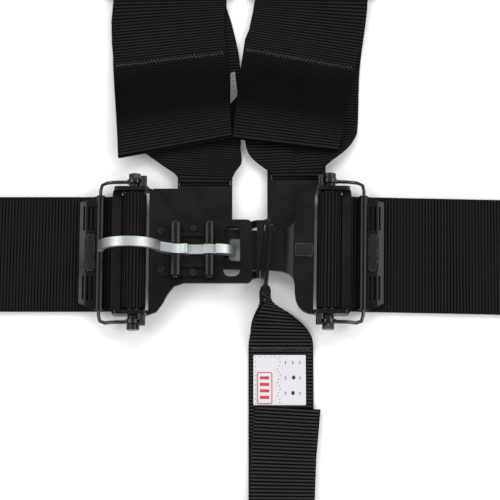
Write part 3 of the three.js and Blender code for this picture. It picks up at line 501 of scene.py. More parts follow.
# %% Walk along a strap
STEP = RIB_PITCH * MM / 6
PLY = 1.6  # thickness of one layer of webbing, in millimetres
CENTRE, SIDE, WIDTH, THICK, RIB = slice(0, 3), slice(3, 6), 6, 7, 8  # the columns of a stop
SAME_PLACE = 1e-7


def stop(x, y, z, width, thick=PLY, turn=0.0, lift=0.0, rib=1.0):
    """A stop in millimetres. In degrees, turn swings the width about Z and lift tips it up."""
    t, e = math.radians(turn), math.radians(lift)
    side = (math.cos(t) * math.cos(e), math.sin(t) * math.cos(e), math.sin(e))
    return [x * MM, y * MM, z * MM, *side, width * MM, thick * MM, rib]


def curved(stops, cuts=6):
    """Stops on the smooth curve that passes through the given ones."""
    rows = np.array([stops[0], *stops, stops[-1]], float)
    t = np.linspace(0, 1, cuts, endpoint=False)[:, None]
    spans = []
    for a, b, c, d in zip(rows, rows[1:], rows[2:], rows[3:]):
        squared = 2 * a - 5 * b + 4 * c - d
        cubed = 3 * (b - c) + d - a
        spans.append(b + 0.5 * t * (c - a + t * (squared + t * cubed)))
    return [*np.vstack(spans).tolist(), list(stops[-1])]


def softened(values, steps):
    """A moving average that leaves both ends where they are."""
    steps = max(1, min(steps, len(values) // 2 - 1))
    window = 2 * steps + 1
    before = 2 * values[0] - values[steps:0:-1]
    after = 2 * values[-1] - values[-2:-steps - 2:-1]
    padded = np.vstack([before, values, after])
    total = np.cumsum(np.vstack([np.zeros(values.shape[1]), padded]), axis=0)
    return (total[window:] - total[:-window]) / window


def walk(stops, soft_mm):
    """Even steps along the stops, with each corner softened over about soft_mm."""
    stops = np.array(stops, float)
    reach = round(soft_mm * MM / STEP / 2)
    for to_soften in (True, False):
        gaps = np.linalg.norm(np.diff(stops[:, CENTRE], axis=0), axis=1)
        keep = np.concatenate([[True], gaps > SAME_PLACE])
        stops, gaps = stops[keep], gaps[keep[1:]]
        along = np.concatenate([[0], np.cumsum(gaps)])
        even = np.linspace(0, along[-1], max(2, round(along[-1] / STEP) + 1))
        stops = np.column_stack([np.interp(even, along, column) for column in stops.T])
        if to_soften:
            stops = softened(softened(stops, reach), reach)
    return stops


def directions(path):
    """For each step: the direction of the strap's width and its upward normal."""
    heading = np.gradient(path[:, CENTRE], axis=0)
    heading /= np.linalg.norm(heading, axis=1)[:, None]
    side = path[:, SIDE] / np.linalg.norm(path[:, SIDE], axis=1)[:, None]
    normal = np.cross(side, heading)
    return side, normal / np.linalg.norm(normal, axis=1)[:, None]


print("a strap is cut every", round(STEP / MM, 3), "mm")

# %% [markdown]
# The ribbon's section is a closed loop of points: across the top, round the selvedge, and back
# underneath. Where a strap is squeezed into a slot, its section gets narrower and thicker. The
# points lie close together in the selvedge's round and wide apart on the flat face.

# %% Section of a strap
INNER = np.linspace(-1, 1, 13)[1:-1]  # places of the points between the two selvedges
SELVEDGE = ((0.0, 0.0), (0.12, 0.62), (0.5, 0.93), (1.0, 1.0))  # its round: inwards and upwards


def section(width, thick):
    """Across and up positions of the section's points, as arrays with one row per step."""
    corner = np.minimum(thick / 2, width / 6)
    left = [(-width / 2 + inwards * corner, rise * thick / 2) for inwards, rise in SELVEDGE]
    middle = [(a * (width / 2 - corner * 1.3), thick / 2) for a in INNER]
    top = left + middle + [(-a, b) for a, b in reversed(left)]
    across = np.stack([a for a, b in top], axis=1)
    up = np.stack([b for a, b in top], axis=1)
    return across, up


print("a strap's face is", len(INNER) + 2 * len(SELVEDGE), "points wide")

# %% [markdown]
# `ribbon` sweeps the section along the path and closes both cut ends. The ribs are a wave along
# the strap that raises both faces, so they fade with the `rib` column of the stops. The wave is
# flattened at its crests by a power below one, because a weft cord is a round that stands close
# to its neighbour. `pucker` moves the middle of the strap up or down without changing its
# thickness, for creases.

# %% Weave a ribbon
RIB_HEIGHT = 0.2  # of a rib above the middle of the webbing's face, in millimetres
RIB_FULLNESS = 0.7


def ribbon(name, path, material, pucker=None, rib_mm=RIB_HEIGHT, pitch=RIB_PITCH):
    """A closed strap along a path, ribbed on both faces. Returns the object."""
    side, normal = directions(path)
    gaps = np.linalg.norm(np.diff(path[:, CENTRE], axis=0), axis=1)
    along = np.concatenate([[0], np.cumsum(gaps)])
    across, up = section(path[:, WIDTH], path[:, THICK])
    phase = along / (pitch * MM)
    ridge = 2 * np.abs(np.cos(math.pi * phase)) ** RIB_FULLNESS - 1
    face = up / up.max(axis=1)[:, None]
    up = up + (ridge * path[:, RIB] * rib_mm * MM)[:, None] * face
    shift = np.zeros_like(across) if pucker is None else pucker(along, across, path) * MM
    rows, wide = across.shape
    line = path[:, None, CENTRE] + across[..., None] * side[:, None]
    top = line + (up + shift)[..., None] * normal[:, None]
    low = line + (shift - up)[..., None] * normal[:, None]
    ring = np.concatenate([top, low[:, -2:0:-1]], axis=1)
    ring_across = np.concatenate([across, across[:, -2:0:-1]], axis=1)
    count = ring.shape[1]
    index = np.arange(rows * count).reshape(rows, count)
    after = np.roll(index, -1, 1)
    quads = np.stack([index[1:], after[1:], after[:-1], index[:-1]], axis=-1).reshape(-1, 4)
    caps = []
    for row, starts in ((0, True), (rows - 1, False)):
        loop = index[row]
        for k in range(wide - 1):
            a, b = loop[k], loop[k + 1]
            c, d = loop[(count - k - 1) % count], loop[(count - k) % count]
            cap = [a, b, c, d] if k else [a, b, c]
            if k == wide - 2:
                cap = [a, b, d]
            caps.append(cap if starts else cap[::-1])
    mesh = bpy.data.meshes.new(name)
    mesh.from_pydata(ring.reshape(-1, 3), [], [*quads.tolist(), *caps])
    ring_along = np.repeat(along[:, None], count, 1)
    strap_uv = np.stack([ring_across, ring_along], axis=-1).reshape(-1, 2) / MM
    layer = mesh.uv_layers.new(name="strap")
    corner_vertex = np.zeros(len(mesh.loops), int)
    mesh.loops.foreach_get("vertex_index", corner_vertex)
    layer.data.foreach_set("uv", strap_uv[corner_vertex].astype(np.float32).ravel())
    stands = mesh.attributes.new("rib", "FLOAT", "POINT")
    stands.data.foreach_set("value", np.repeat(path[:, RIB], count).astype(np.float32))
    mesh.polygons.foreach_set("use_smooth", [True] * len(mesh.polygons))
    mesh.materials.append(material)
    mesh.validate()
    piece = bpy.data.objects.new(name, mesh)
    bpy.context.scene.collection.objects.link(piece)
    piece["length_mm"] = float(along[-1] / MM)
    return piece


print("ribs stand", RIB_HEIGHT, "mm above and below the middle of the face")

# %% [markdown]
# `web` makes one strap: a ribbon that rides on the harness and stands for its CAD solids, with
# the length that its own path measures. Its path is kept for its stitching.

# %% Make a strap
WALKS = {}


def web(name, path, replaced, rests_on, held="laid", pucker=None, slot="webbing",
        material=WEBBING, **options):
    """A ribbon that stands for CAD nodes."""
    piece = ribbon(name, path, material, pucker, **options)
    WALKS[name] = path
    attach(piece, "harness")
    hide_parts(*replaced)
    print(name, round(piece["length_mm"]), "mm long,", len(piece.data.polygons), "faces")


print(len(WALKS), "straps so far")

# %% [markdown]
# ### Heights and places from the frame
# The webbing lies on the floor in one layer and on itself in two, so the heights come from its
# thickness. Everything it passes round, such as a grip bar or a bracket, gives its own box.

# %% Heights, bars and seats
LAP_WIDTH = 76.2
CROTCH_WIDTH = 42.0
LOW = 0.975  # middle of the layer on the floor
HIGH = LOW + 1.95  # middle of the layer on top of it
BEND = 2.4  # radius of the webbing's middle round the bar of a slide or a tab
SLIDE_BAR_Z = LOW + BEND


def middle_mm(node):
    """The middle and the half size of a CAD node's box, in millimetres."""
    low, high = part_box(node)
    return np.array((low + high) / 2) / MM, np.array((high - low) / 2) / MM


def arc(cx, cz, radius, start, end, steps):
    """Points of an arc in a side profile: distance along and height, from one angle to another."""
    angles = np.radians(np.linspace(start, end, steps + 1))
    return [(cx + radius * math.cos(a), cz + radius * math.sin(a)) for a in angles]


def seat_profile(points, origin, heading, width):
    """Side-profile points carried into the frame: out along a heading in degrees from an origin."""
    h = math.radians(heading)
    turn = heading - 90
    return [stop(origin[0] + out * math.cos(h), origin[1] + out * math.sin(h), z, width, PLY, turn)
            for out, z in points]


for node in ("left_grip_bar", "right_grip_bar", "left_shoulder_adjuster", "crotch_adjuster"):
    middle, half = middle_mm(node)
    print(node, np.round(middle, 1), "half size", np.round(half, 1))

# %% [markdown]
# ### Stored length
# Most of each strap is put away: folded flat in ten layers, held by an elastic keeper, with its
# end sewn in a loop through the anchor bracket. It is the same piece of webbing all the way, so
# the folds are part of the strap's own walk. No two folds end at quite the same place.

# %% Folded stack and bracket loop
LAYERS = 10
STACK_LOW, STACK_HIGH = 2.25, 17.6  # middles of the lowest and highest layer
STACK_INNER, STACK_OUTER = 1.3, 68.6  # its reach, from the strap's seat outwards
FOLD_WANDER = 0.7
LOOP_X, LOOP_LOW, LOOP_HIGH = 21.2, 19.75, 25.15  # the loop through the bracket
SEWN_END = [(12.5, LOOP_HIGH), (9.5, 23.6), (6.5, 21.75), (1.6, 21.5)]


def stack_profile(tuck=0.0):
    """From the floor up through the folds to the bracket loop.

    tuck leaves room for a sewn end under the first inner fold."""
    pitch = (STACK_HIGH - STACK_LOW) / (LAYERS - 1)
    radius = pitch / 2
    points = [(-4.0, LOW), (2.5, STACK_LOW)]
    for fold in range(LAYERS - 1):
        z = STACK_LOW + pitch * (fold + 0.5)
        wander = FOLD_WANDER * math.sin(2.4 * fold)
        if fold % 2 == 0:
            points += arc(STACK_OUTER - radius - FOLD_WANDER + wander, z, radius, -90, 90, 6)
        else:
            inner = STACK_INNER + radius + FOLD_WANDER + wander + (tuck if fold == 1 else 0)
            points += arc(inner, z, radius, 270, 90, 6)
    points += arc(3.2, (STACK_HIGH + LOOP_LOW) / 2, (LOOP_LOW - STACK_HIGH) / 2, 270, 90, 6)
    points += arc(LOOP_X, (LOOP_LOW + LOOP_HIGH) / 2, (LOOP_HIGH - LOOP_LOW) / 2, -90, 90, 10)
    return points + SEWN_END


print("a stack holds about", round(LAYERS * (STACK_OUTER - STACK_INNER)), "mm")

# %% [markdown]
# ### Lap straps
# Each lap strap comes off the floor, runs up round the grip bar of its adjuster from beneath,
# back out over itself, and ends in a folded hem. The grip bar's box gives the bar's place, and
# the direction of its joint gives the small turn of the right-hand plate.

# %% Lap straps
WRAP_RADIUS = 6.9  # of the webbing's middle round a grip bar
TAIL_SHORT = 2.4  # how far the tail's fold stops before the stack
HEM = 30.0
HEM_HEIGHT = 1.9  # of the hem's second layer above the first


def lap_walk(side, heading, anchor_heading):
    """From the bracket loop through the stack, round the grip bar and back to the hem."""
    bar, _ = middle_mm(f"{side}_grip_bar")
    stack, stack_half = middle_mm(f"{side}_lap_stored_webbing")
    sign = math.copysign(1, stack[0])
    seat = np.array([sign * (abs(stack[0]) - stack_half[0]), stack[1]])
    reach = abs(seat[0] - bar[0])
    end = reach - TAIL_SHORT
    inwards = [(reach - 5, LOW), (30, LOW), (15, LOW + 0.4)]
    wrap = arc(0, bar[2], WRAP_RADIUS, -90, -350, 18)
    down = arc(WRAP_RADIUS + 2.5, bar[2] - 1, 2.5, 180, 270, 4)
    outwards = [(WRAP_RADIUS + 7.5, HIGH + 1.7), (WRAP_RADIUS + 13.5, HIGH)]
    fold = arc(end - 1.0, HIGH + HEM_HEIGHT / 2, HEM_HEIGHT / 2, -90, 90, 6)
    hem = [(end - HEM, HIGH + HEM_HEIGHT)]
    stored = seat_profile(stack_profile(), seat, anchor_heading, LAP_WIDTH)[::-1]
    worn = seat_profile(inwards + wrap + down + outwards + fold + hem, bar, heading, LAP_WIDTH)
    return walk(stored + worn, 1.0)


right_axis = next(j["axis"] for j in frame["joints"] if j["name"] == "right_handle_lift")
right_turn = math.degrees(math.atan2(right_axis[0], -right_axis[1]))
for side, heading, anchor_heading in (("left", 180.0, 180.0), ("right", right_turn, 0.0)):
    web(f"{side}_lap_webbing", lap_walk(side, heading, anchor_heading),
        (f"{side}_lap_strap", f"{side}_lap_stored_webbing"),
        (f"{side}_grip_bar", "floor"), "folded")

# %% [markdown]
# ### Shoulder straps
# A shoulder strap starts sewn under its tab, turns up through the tab's slot gathered to less than
# half its width, fans out to full width on the floor, runs round the middle bar of its slide
# adjuster and comes back on top as the pull tail, which ends in a turned hem. Squeezed into the
# slot the webbing is thicker, and creases run out of it. The creases are drawn: shallow valleys
# that drift sideways and fade out where the strap lies flat.

# %% Creases of a gathered strap
RIPPLE = 0.7
GATHER_START, GATHER_END = 35, 66  # along the strap from its sewn end


def gathers(creases, seed):
    """Creases from the tab outwards. Each crease is its place and drift across, width and depth."""
    start, end = GATHER_START, GATHER_END
    draw = np.random.default_rng(seed)
    waves = [(draw.uniform(0.5, 1.0), draw.uniform(0.6, 1.9), draw.uniform(0, 2 * math.pi))
             for _ in range(4)]

    def pucker(along, across, path):
        reach = np.clip((along / MM - start) / (end - start), 0, 1)
        fade = (np.sin(math.pi * np.sqrt(reach)) ** 0.8)[:, None]
        place = across / (path[:, WIDTH] / 2)[:, None]
        lift = RIPPLE * sum(size * np.sin(math.pi * beat * place + turn)
                            for size, beat, turn in waves)
        for middle, drift, wide, deep in creases:
            lift = lift - deep * np.exp(-(((place - middle - drift * reach[:, None]) / wide) ** 2))
        return fade * lift

    return pucker


print("creases fade out", GATHER_END, "mm along the strap")

# %% Walk of a shoulder strap
SLIDE_BAR = 20.6  # from an adjuster's front edge to its middle bar
TAB_BAR_Z = 3.725


def slide_turn():
    """Round the middle bar of a slide adjuster, from beneath: distance in, and height."""
    return arc(SLIDE_BAR, SLIDE_BAR_Z, BEND, -90, 90, 8)


def shoulder_walk(tab_stops, rows, adjuster_node, tail_rows):
    """From the sewn end under the tab to the adjuster and back along the tail."""
    adjuster, half = middle_mm(adjuster_node)
    front = adjuster[1] - half[1]
    x = adjuster[0]
    turn = [stop(x, front + out, z, LAP_WIDTH) for out, z in slide_turn()]
    approach = [stop(x, front - 8, LOW, LAP_WIDTH)]
    leave = [stop(x, front - 3, SLIDE_BAR_Z + BEND, LAP_WIDTH)]
    return walk(tab_stops + rows + approach + turn + leave + tail_rows, 2.0)


def tab_loop(x, width, turn_y):
    """Up through the slot of a tab, wrapping the tab's outer bar."""
    under = [stop(x, turn_y + 24, 1.2, width + 14), stop(x, turn_y + 12, 1.3, width + 2)]
    bend = [stop(x, turn_y + out, z, width, 1.7)
            for out, z in arc(0, TAB_BAR_Z, BEND, 270, 90, 10)]
    return under + bend


adjusters = [node for node in nodes if node.endswith("_adjuster")]
print("adjusters at", {node: round(float(middle_mm(node)[0][1]), 1) for node in adjusters})

# %% [markdown]
# The hem of each pull tail is the webbing turned under and sewn down with one zigzag row. Between
# the row and the fold the two layers bulge apart, and the ribs there are pulled nearly smooth.

# %% Shoulder webbing
# Where the ribs are this flat, the cloth also takes the colour of its grooves: painted shade over the hem's bulge.
SMOOTH = 0.06  # how much of the rib is left where the hem bulges
NEAR_FLAT = 0.35
RECOVERED = 0.8

left_rows = [
    stop(-30.2, 52, 6.15, 38, 1.9, -3), stop(-33.4, 56.5, 6.0, 48, 2.4, -5),
    stop(-38.2, 65, 4.9, 66, 2.6, -7), stop(-43.2, 75, 2.7, 74.5, 2.0, -6),
    stop(-44.2, 86, LOW, LAP_WIDTH, PLY, -4), stop(-44.8, 128, LOW, LAP_WIDTH, PLY, 3),
    stop(-50.4, 156, LOW, LAP_WIDTH, PLY, 5),
]
left_tail = [
    stop(-55.5, 162, 4.0, LAP_WIDTH, PLY, 5), stop(-55, 148, 3.4, LAP_WIDTH, PLY, 6),
    stop(-54.1, 139, 4.1, LAP_WIDTH, PLY, 6.8), stop(-53.9, 133.5, 5.2, LAP_WIDTH, PLY, 7),
    stop(-53.6, 129, 5.9, LAP_WIDTH, PLY, 7.2, 0, NEAR_FLAT),
    stop(-52.8, 118, 6.8, LAP_WIDTH, PLY, 7.9, 0, SMOOTH),
    stop(-51.2, 98, 8.2, LAP_WIDTH, PLY, 9.1, 0, SMOOTH),
    stop(-50.2, 84, 9.0, LAP_WIDTH, PLY, 9.9, 0, RECOVERED),
    stop(-49.6, 71.5, 9.85, LAP_WIDTH, PLY, 10.7),
]
left_under = [
    stop(-49.5, 70.3, 8.9, LAP_WIDTH, PLY, 10.7), stop(-49.6, 71.5, 7.95, LAP_WIDTH, PLY, 10.7),
    stop(-50.4, 84, 6.2, LAP_WIDTH, PLY, 9.8), stop(-51.8, 104, 3.6, LAP_WIDTH, PLY, 8.6),
    stop(-53.9, 134.5, 3.5, LAP_WIDTH, PLY, 7),
]
right_rows = [
    stop(30.0, 55.5, 6.15, 35, 1.9, 2), stop(30.2, 60, 6.0, 46, 2.4, 3),
    stop(31.2, 68, 4.9, 64, 2.6, 2), stop(32.8, 78, 2.7, 73, 2.0, -1),
    stop(33.8, 89, LOW, LAP_WIDTH, PLY, -3), stop(35.6, 128, LOW, LAP_WIDTH, PLY, -5),
    stop(39.4, 156, LOW, LAP_WIDTH, PLY, -4),
]
right_tail = [
    stop(39.8, 162, 4.0, LAP_WIDTH, PLY, -6), stop(37, 148, 3.4, LAP_WIDTH, PLY, -9),
    stop(34.1, 140, 4.1, LAP_WIDTH, PLY, -10.5), stop(33.3, 134, 5.2, LAP_WIDTH, PLY, -10.5),
    stop(32.6, 129.5, 5.9, 76, PLY, -10.4, 0, NEAR_FLAT),
    stop(30.8, 119, 6.8, 75.4, PLY, -10, 0, SMOOTH),
    stop(27.4, 99, 8.2, 73.4, PLY, -8.9, 0, SMOOTH),
    stop(25.2, 85, 9.0, 72, PLY, -8, 0, RECOVERED),
    stop(23.6, 73.4, 9.85, 70.5, PLY, -7),
]
right_under = [
    stop(23.4, 72.2, 8.9, 70.5, PLY, -7), stop(23.6, 73.4, 7.95, 70.5, PLY, -7),
    stop(25.2, 85, 6.2, 72, PLY, -8), stop(28.4, 104, 3.6, 74, PLY, -9.2),
    stop(33.4, 135.5, 3.5, 75.4, PLY, -10.5),
]
left_path = shoulder_walk(tab_loop(-29.8, 33.2, 48.6), curved(left_rows),
                          "left_shoulder_adjuster", left_tail + left_under)
right_path = shoulder_walk(tab_loop(30, 31.4, 52.8), curved(right_rows),
                           "right_shoulder_adjuster", right_tail + right_under)
left_creases = [(-0.25, 0.1, 0.1, 2.3), (0.45, 0.2, 0.2, 1.4), (-0.7, -0.1, 0.16, 1.0)]
right_creases = [(-0.02, 0.12, 0.09, 2.4), (0.55, 0.1, 0.2, 1.4), (-0.6, -0.15, 0.18, 1.2)]
web("left_shoulder_webbing", left_path, ("left_shoulder_strap", "left_shoulder_tail"),
    ("left_shoulder_tab", "left_shoulder_adjuster"), "gathered", gathers(left_creases, 4))
web("right_shoulder_webbing", right_path, ("right_shoulder_strap", "right_shoulder_tail"),
    ("right_shoulder_tab", "right_shoulder_adjuster"), "gathered", gathers(right_creases, 11))

# %% [markdown]
# ### Crotch strap
# The crotch tab stands on edge, so the narrow webbing goes through its slot on edge too, gathered
# to a third of its width. On the near side it comes out of the slot, twists a quarter turn and
# opens flat to the right; the other end of the loop twists the same way beneath it and is sewn
# to it. `lift` tips the width from upright, at 90 degrees, down to flat, at 0.

# %% Crotch webbing
crotch_stops = [
    stop(20, -63.5, LOW, CROTCH_WIDTH, PLY, 180, 0), stop(18.8, -56, 1.4, 37.5, PLY, 180, 1.5),
    stop(14.4, -48, 3.4, 28, PLY, 180, 10), stop(10.4, -40, 6.7, 18, 1.8, 180, 42),
    stop(8.3, -34.5, 7.6, 13, 1.9, 180, 76), stop(7.1, -29, 8.7, 11.2, 1.9, 180, 90),
    stop(7.4, -25, 8.8, 11, 1.9, 180, 90), stop(9.9, -22.7, 8.8, 11, 1.9, 180, 90),
    stop(12.5, -25, 8.8, 11, 1.9, 180, 90), stop(12.1, -29.4, 8.7, 12, 2.1, 180, 86),
    stop(12.8, -34, 9.0, 17, 2.2, 180, 66), stop(16.4, -40, 9.3, 26, 2.0, 180, 38),
    stop(18.7, -47, 7.0, 34, 1.8, 180, 17), stop(19.8, -54, 4.3, 40, PLY, 180, 5),
    stop(20, -60.5, HIGH - 0.1, CROTCH_WIDTH, PLY, 180),
    stop(20, -67, LOW + 0.1, CROTCH_WIDTH, PLY, 180),
    stop(20, -76, LOW, CROTCH_WIDTH, PLY, 180), stop(20, -178, LOW, CROTCH_WIDTH, PLY, 180),
]
crotch_adjuster, crotch_half = middle_mm("crotch_adjuster")
crotch_front = crotch_adjuster[1] + crotch_half[1]
crotch_turn = [stop(20, crotch_front - out, z, CROTCH_WIDTH, PLY, 180)
               for out, z in slide_turn()]
crotch_tail = [
    stop(20, crotch_front + 3, SLIDE_BAR_Z + BEND, CROTCH_WIDTH, PLY, 180),
    stop(20, -163, HIGH + 0.2, CROTCH_WIDTH, PLY, 180),
    stop(21.4, -132, HIGH + 0.1, CROTCH_WIDTH, PLY, 177.6),
    stop(24.4, -100.6, HIGH + 0.3, CROTCH_WIDTH, PLY, 176.5),
]
crotch_path = walk(curved(crotch_stops[:-1]) + crotch_stops[-1:] + crotch_turn + crotch_tail, 2.4)
web("crotch_webbing", crotch_path, ("crotch_strap", "crotch_tail"),
    ("crotch_tab", "crotch_adjuster"), "gathered", material=CROTCH_WEBBING, pitch=CROTCH_PITCH)

# %% [markdown]
# ### Anchor webbing of the shoulder and crotch straps
# Behind each slide adjuster a second piece of webbing loops round its rear bar, is tucked back
# into its own folded stack and ends in the bracket loop, as the lap straps do.

# %% Anchor webbing
REAR_TURN = -12.4  # the loop's turn from the front of the stack
TUCKED_END = [(9.0, 4.1), (1.5, 4.4), (-4.5, 5.775)]
TUCK = 9.0
SEAT_DEPTH = 70.0  # from the seat to the far side of the stack


def anchor_walk(end, width, heading):
    """From the end tucked in the stack, round the adjuster's rear bar and through the folds."""
    stack, half = middle_mm(f"{end}_stored_webbing")
    far = (abs(stack[1]) + half[1]) * math.copysign(1, stack[1])
    seat = np.array([stack[0], far - math.sin(math.radians(heading)) * SEAT_DEPTH])
    rear = TUCKED_END + arc(REAR_TURN, SLIDE_BAR_Z, BEND, 90, 270, 8) + [(-7.5, LOW)]
    return walk(seat_profile(rear + stack_profile(TUCK), seat, heading, width), 1.0)


for end, width, heading in (("left_shoulder", LAP_WIDTH, 90.0), ("right_shoulder", LAP_WIDTH, 90.0),
                            ("crotch", CROTCH_WIDTH, -90.0)):
    web(f"{end}_anchor_webbing", anchor_walk(end, width, heading), (f"{end}_stored_webbing",),
        (f"{end}_adjuster", f"{end}_anchor_bracket"), "folded")

# %% [markdown]
# ### Keepers
# A keeper is a band of elastic sewn into a ring. It runs round the stack, so its walk goes round
# a rounded rectangle and its width points along the strap.

# %% Keepers
ENDS = ("left_lap", "right_lap", "left_shoulder", "right_shoulder", "crotch")
KEEPER_THICK = 0.9
KEEPER_INSET = 0.5  # of the elastic's middle inside its CAD band
KEEPER_BEND = 1.6


def rounded(x0, x1, y0, y1, radius, steps=4):
    """The outline of a rounded rectangle, anticlockwise from its right-hand lower corner."""
    outline = []
    for cx, cy, start in ((x1 - radius, y0 + radius, -90), (x1 - radius, y1 - radius, 0),
                          (x0 + radius, y1 - radius, 90), (x0 + radius, y0 + radius, 180)):
        outline += arc(cx, cy, radius, start, start + 90, steps)
    return outline


def stored_in(end):
    """The piece of webbing whose stack and bracket loop are at this end of the harness."""
    return f"{end}_webbing" if "lap" in end else f"{end}_anchor_webbing"


def keeper_walk(end):
    """Once round the stack, from the middle of its underside."""
    middle, half = middle_mm(f"{end}_keeper_band")
    along, across, turn = (0, 1, 0) if "lap" in end else (1, 0, 90)
    reach = half[across] - KEEPER_INSET
    low, high = KEEPER_INSET, 2 * half[2] - KEEPER_INSET
    seam = [(0.0, low)]
    stops = []
    for out, z in seam + rounded(-reach, reach, low, high, KEEPER_BEND, 5) + seam:
        place = [middle[0], middle[1]]
        place[across] += out
        stops.append(stop(*place, z, 2 * half[along], KEEPER_THICK, turn))
    return walk(stops, 0.5)


for end in ENDS:
    web(f"{end}_keeper", keeper_walk(end), (f"{end}_keeper_band",), (stored_in(end),), "stretched",
        slot="keeper_elastic", material=ELASTIC, rib_mm=0.05, pitch=ELASTIC_PITCH)

# %% [markdown]
# ### Stitching
# A row of thread is a fine tube that zigzags across a strap on top of its ribs. It finds its place
# from the strap's own path: the step that lies nearest a given point.

# %% Thread rows
THREAD_RADIUS = 0.3
LOOP_STEP = 40  # the step of a bracket loop that its inner row of thread crosses


def tube(points, ups, radius, sides=6):
    """Vertices and faces of a closed tube through the points."""
    points, ups = np.array(points), np.array(ups)
    heading = np.gradient(points, axis=0)
    heading /= np.linalg.norm(heading, axis=1)[:, None]
    side = np.cross(heading, ups)
    side /= np.linalg.norm(side, axis=1)[:, None]
    rise = np.cross(side, heading)
    angles = np.linspace(0, 2 * math.pi, sides, endpoint=False)
    ring = points[:, None] + radius * (np.cos(angles)[None, :, None] * side[:, None]
                                       + np.sin(angles)[None, :, None] * rise[:, None])
    rows = len(points)
    index = np.arange(rows * sides).reshape(rows, sides)
    after = np.roll(index, -1, 1)
    quads = np.stack([index[:-1], after[:-1], after[1:], index[1:]], axis=-1).reshape(-1, 4)
    caps = [index[0][::-1].tolist(), index[-1].tolist()]
    return ring.reshape(-1, 3), quads.tolist() + caps


def new_piece(name, vertices, faces, material, smooth=True):
    """A plain mesh piece that rides on the harness."""
    mesh = bpy.data.meshes.new(name)
    mesh.from_pydata([tuple(v) for v in vertices], [], faces)
    mesh.polygons.foreach_set("use_smooth", [smooth] * len(faces))
    mesh.materials.append(material)
    piece = bpy.data.objects.new(name, mesh)
    bpy.context.scene.collection.objects.link(piece)
    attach(piece, "harness")
    return piece


def thread_row(name, path, target, margin=2.0, swing=1.1, pitch=2.6, clear=0.28, wander=0.35):
    """A zigzag across the strap at the step nearest the target, which is given in millimetres."""
    row = int(np.argmin(np.linalg.norm(path[:, CENTRE] - np.array(target) * MM, axis=1)))
    side, normal = directions(path)
    upward = normal[row] * (1 if normal[row][2] > -0.3 else -1)
    heading = np.cross(upward, side[row])
    half = path[row, WIDTH] / 2 / MM - margin
    count = int(2 * half / pitch) * 2
    draw = np.random.default_rng(len(name))
    points = []
    for k in range(count + 1):
        a = -half + 2 * half * k / count
        b = swing * (1 if k % 2 else -1) + draw.uniform(-wander, wander)
        up = path[row, THICK] / 2 / MM + clear
        points.append(path[row, CENTRE] + MM * (a * side[row] + b * heading + up * upward))
    vertices, faces = tube(points, [upward] * len(points), THREAD_RADIUS * MM)
    return new_piece(name, vertices, faces, THREAD)


thread_row("left_shoulder_hem_stitch", left_path, (-53.8, 131.5, 5.6), pitch=2.2)
thread_row("right_shoulder_hem_stitch", right_path, (32.9, 132, 5.6), pitch=2.2)
thread_row("crotch_stitch", crotch_path, (20, -62.5, 3.0), swing=0.7, pitch=2.0)
for end in ENDS:
    path = WALKS[stored_in(end)]
    rows = (path[0], path[LOOP_STEP]) if "lap" in end else (path[-1], path[-LOOP_STEP])
    for k, place in enumerate(rows):
        thread_row(f"{end}_loop_stitch_{k + 1}", path, place[CENTRE] / MM, swing=0.9)
print(3 + 2 * len(ENDS), "rows of thread")

# %% [markdown]
# ### Labels
# The label on the crotch strap is a strip of white satin sewn down with small stitches. Its print
# is plain shapes only: a red rounded frame with bars in it, a grid of grey dashes and two punched
# dots. A second label shows as a pale sliver beside the left pull tail.

# %% Label cloth
LABEL_LOW = 2.15
LABEL_THICK = 0.3


def label(node, outline, material):
    """A flat label cut to an outline, with its threads running along its length."""
    outline = np.array(outline)
    count = len(outline)
    vertices = np.vstack([np.column_stack([outline, np.full(count, z)])
                          for z in (LABEL_LOW, LABEL_LOW + LABEL_THICK)]) * MM
    ring = list(range(count))
    faces = [ring[::-1], [k + count for k in ring]]
    faces += [[k, (k + 1) % count, (k + 1) % count + count, k + count] for k in ring]
    piece = new_piece(f"{node}_cloth", vertices, faces, material, False)
    layer = piece.data.uv_layers.new(name="strap")
    for loop in piece.data.loops:
        x, y, _ = piece.data.vertices[loop.vertex_index].co / MM
        layer.data[loop.index].uv = (x, y)
    stands = piece.data.attributes.new("rib", "FLOAT", "POINT")
    stands.data.foreach_set("value", [1.0] * len(vertices))
    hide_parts(node)


label("crotch_label", rounded(2.2, 36, -99, -66.6, 0.8), LABEL_CLOTH)

# %% [markdown]
# The print is as thin as ink, but it is geometry, so that it stays sharp however close one looks.
# Each mark is one convex outline, and `stamp` raises all marks of one colour as one piece.

# %% Print
PRINT_LOW = LABEL_LOW + LABEL_THICK + 0.01
PRINT_THICK = 0.05


def stamp(name, shapes, material):
    """Print: thin closed prisms, one for each convex outline."""
    vertices, faces = [], []
    for shape in shapes:
        start, count = len(vertices), len(shape)
        for z in (PRINT_LOW, PRINT_LOW + PRINT_THICK):
            vertices += [(x * MM, y * MM, z * MM) for x, y in shape]
        faces.append([start + k for k in range(count)][::-1])
        faces.append([start + count + k for k in range(count)])
        for k in range(count):
            a, b = start + k, start + (k + 1) % count
            faces.append([a, b, b + count, a + count])
    new_piece(name, vertices, faces, material, False)
    print(name, len(shapes), "marks")


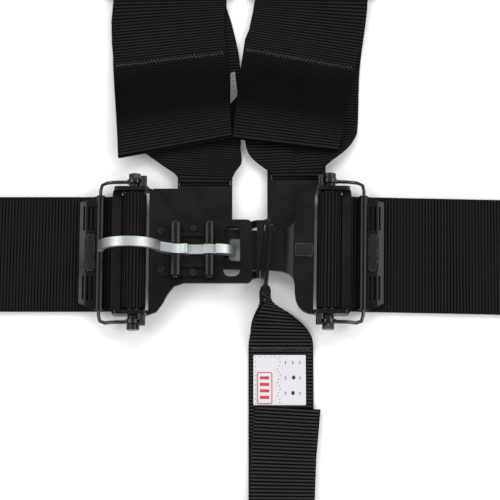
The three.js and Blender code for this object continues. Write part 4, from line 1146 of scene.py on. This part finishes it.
def bar(x, y, wide, tall):
    a, b = wide / 2, tall / 2
    return [(x - a, y - b), (x + a, y - b), (x + a, y + b), (x - a, y + b)]


def dot(x, y, a, b, count):
    """An ellipse of half sizes a and b."""
    return [(x + a * math.cos(t), y + b * math.sin(t))
            for t in np.linspace(0, 2 * math.pi, count, endpoint=False)]


outer, inner = rounded(4.4, 14.4, -98.4, -77.6, 1.6), rounded(5.0, 13.8, -97.8, -78.2, 1.0)
red_frame = [[a, b, d, c] for a, b, c, d in
             zip(outer, outer[1:] + outer[:1], inner, inner[1:] + inner[:1])]
bars = [bar(9.4, y, 6.0, 2.0) for y in (-81.4, -85.6, -89.8, -94.0)]
dashes = [bar(22.9, y, 0.7, 2.0) for y in (-71.6, -81.4, -91.4)] + [bar(27.6, -71.6, 0.7, 2.0)]
dashes += [bar(32.2, y, 0.7, 2.0) for y in (-71.6, -81.4, -91.4)]
dots = [dot(28.2, -81.2, 1.15, 1.35, 14), dot(27.7, -91.2, 1.15, 1.35, 14)]
stitches = [bar(x, -67.9, 0.7, 0.4) for x in np.arange(3.4, 21.0, 3.2)]
stitches += [bar(3.6, y, 0.4, 0.7) for y in np.arange(-98.0, -68.0, 3.0)]
stitches += [bar(18.6 + 0.9 * math.sin(2.1 * y), y, 0.45, 0.75)
             for y in np.arange(-97.6, -68.4, 2.2)]
stamp("label_red_print", red_frame + bars, RED_INK)
stamp("label_grey_print", dashes, GREY_INK)
stamp("label_stitches", dots + stitches, BLACK_INK)

# %% [markdown]
# Beside the left pull tail only a sliver of the shoulder strap's own label can be seen, with a
# line of needle holes where it was sewn. It lies in the tail's shade, so its white cloth is
# painted grey: painted shade.

# %% Sliver of the shoulder label
# Grey cloth here is painted shade on a white label.
label("shoulder_label", [(-13.2, 102), (-8.2, 108), (-10.2, 124.5), (-13, 123.5)], SHADED_LABEL)
holes = [dot(x, y, 0.4, 0.4, 10)
         for x, y in ((-11.4, 121.5), (-11.2, 118), (-11.0, 114.5), (-10.8, 111))]
stamp("shoulder_label_print", holes, BLACK_INK)

# %% [markdown]
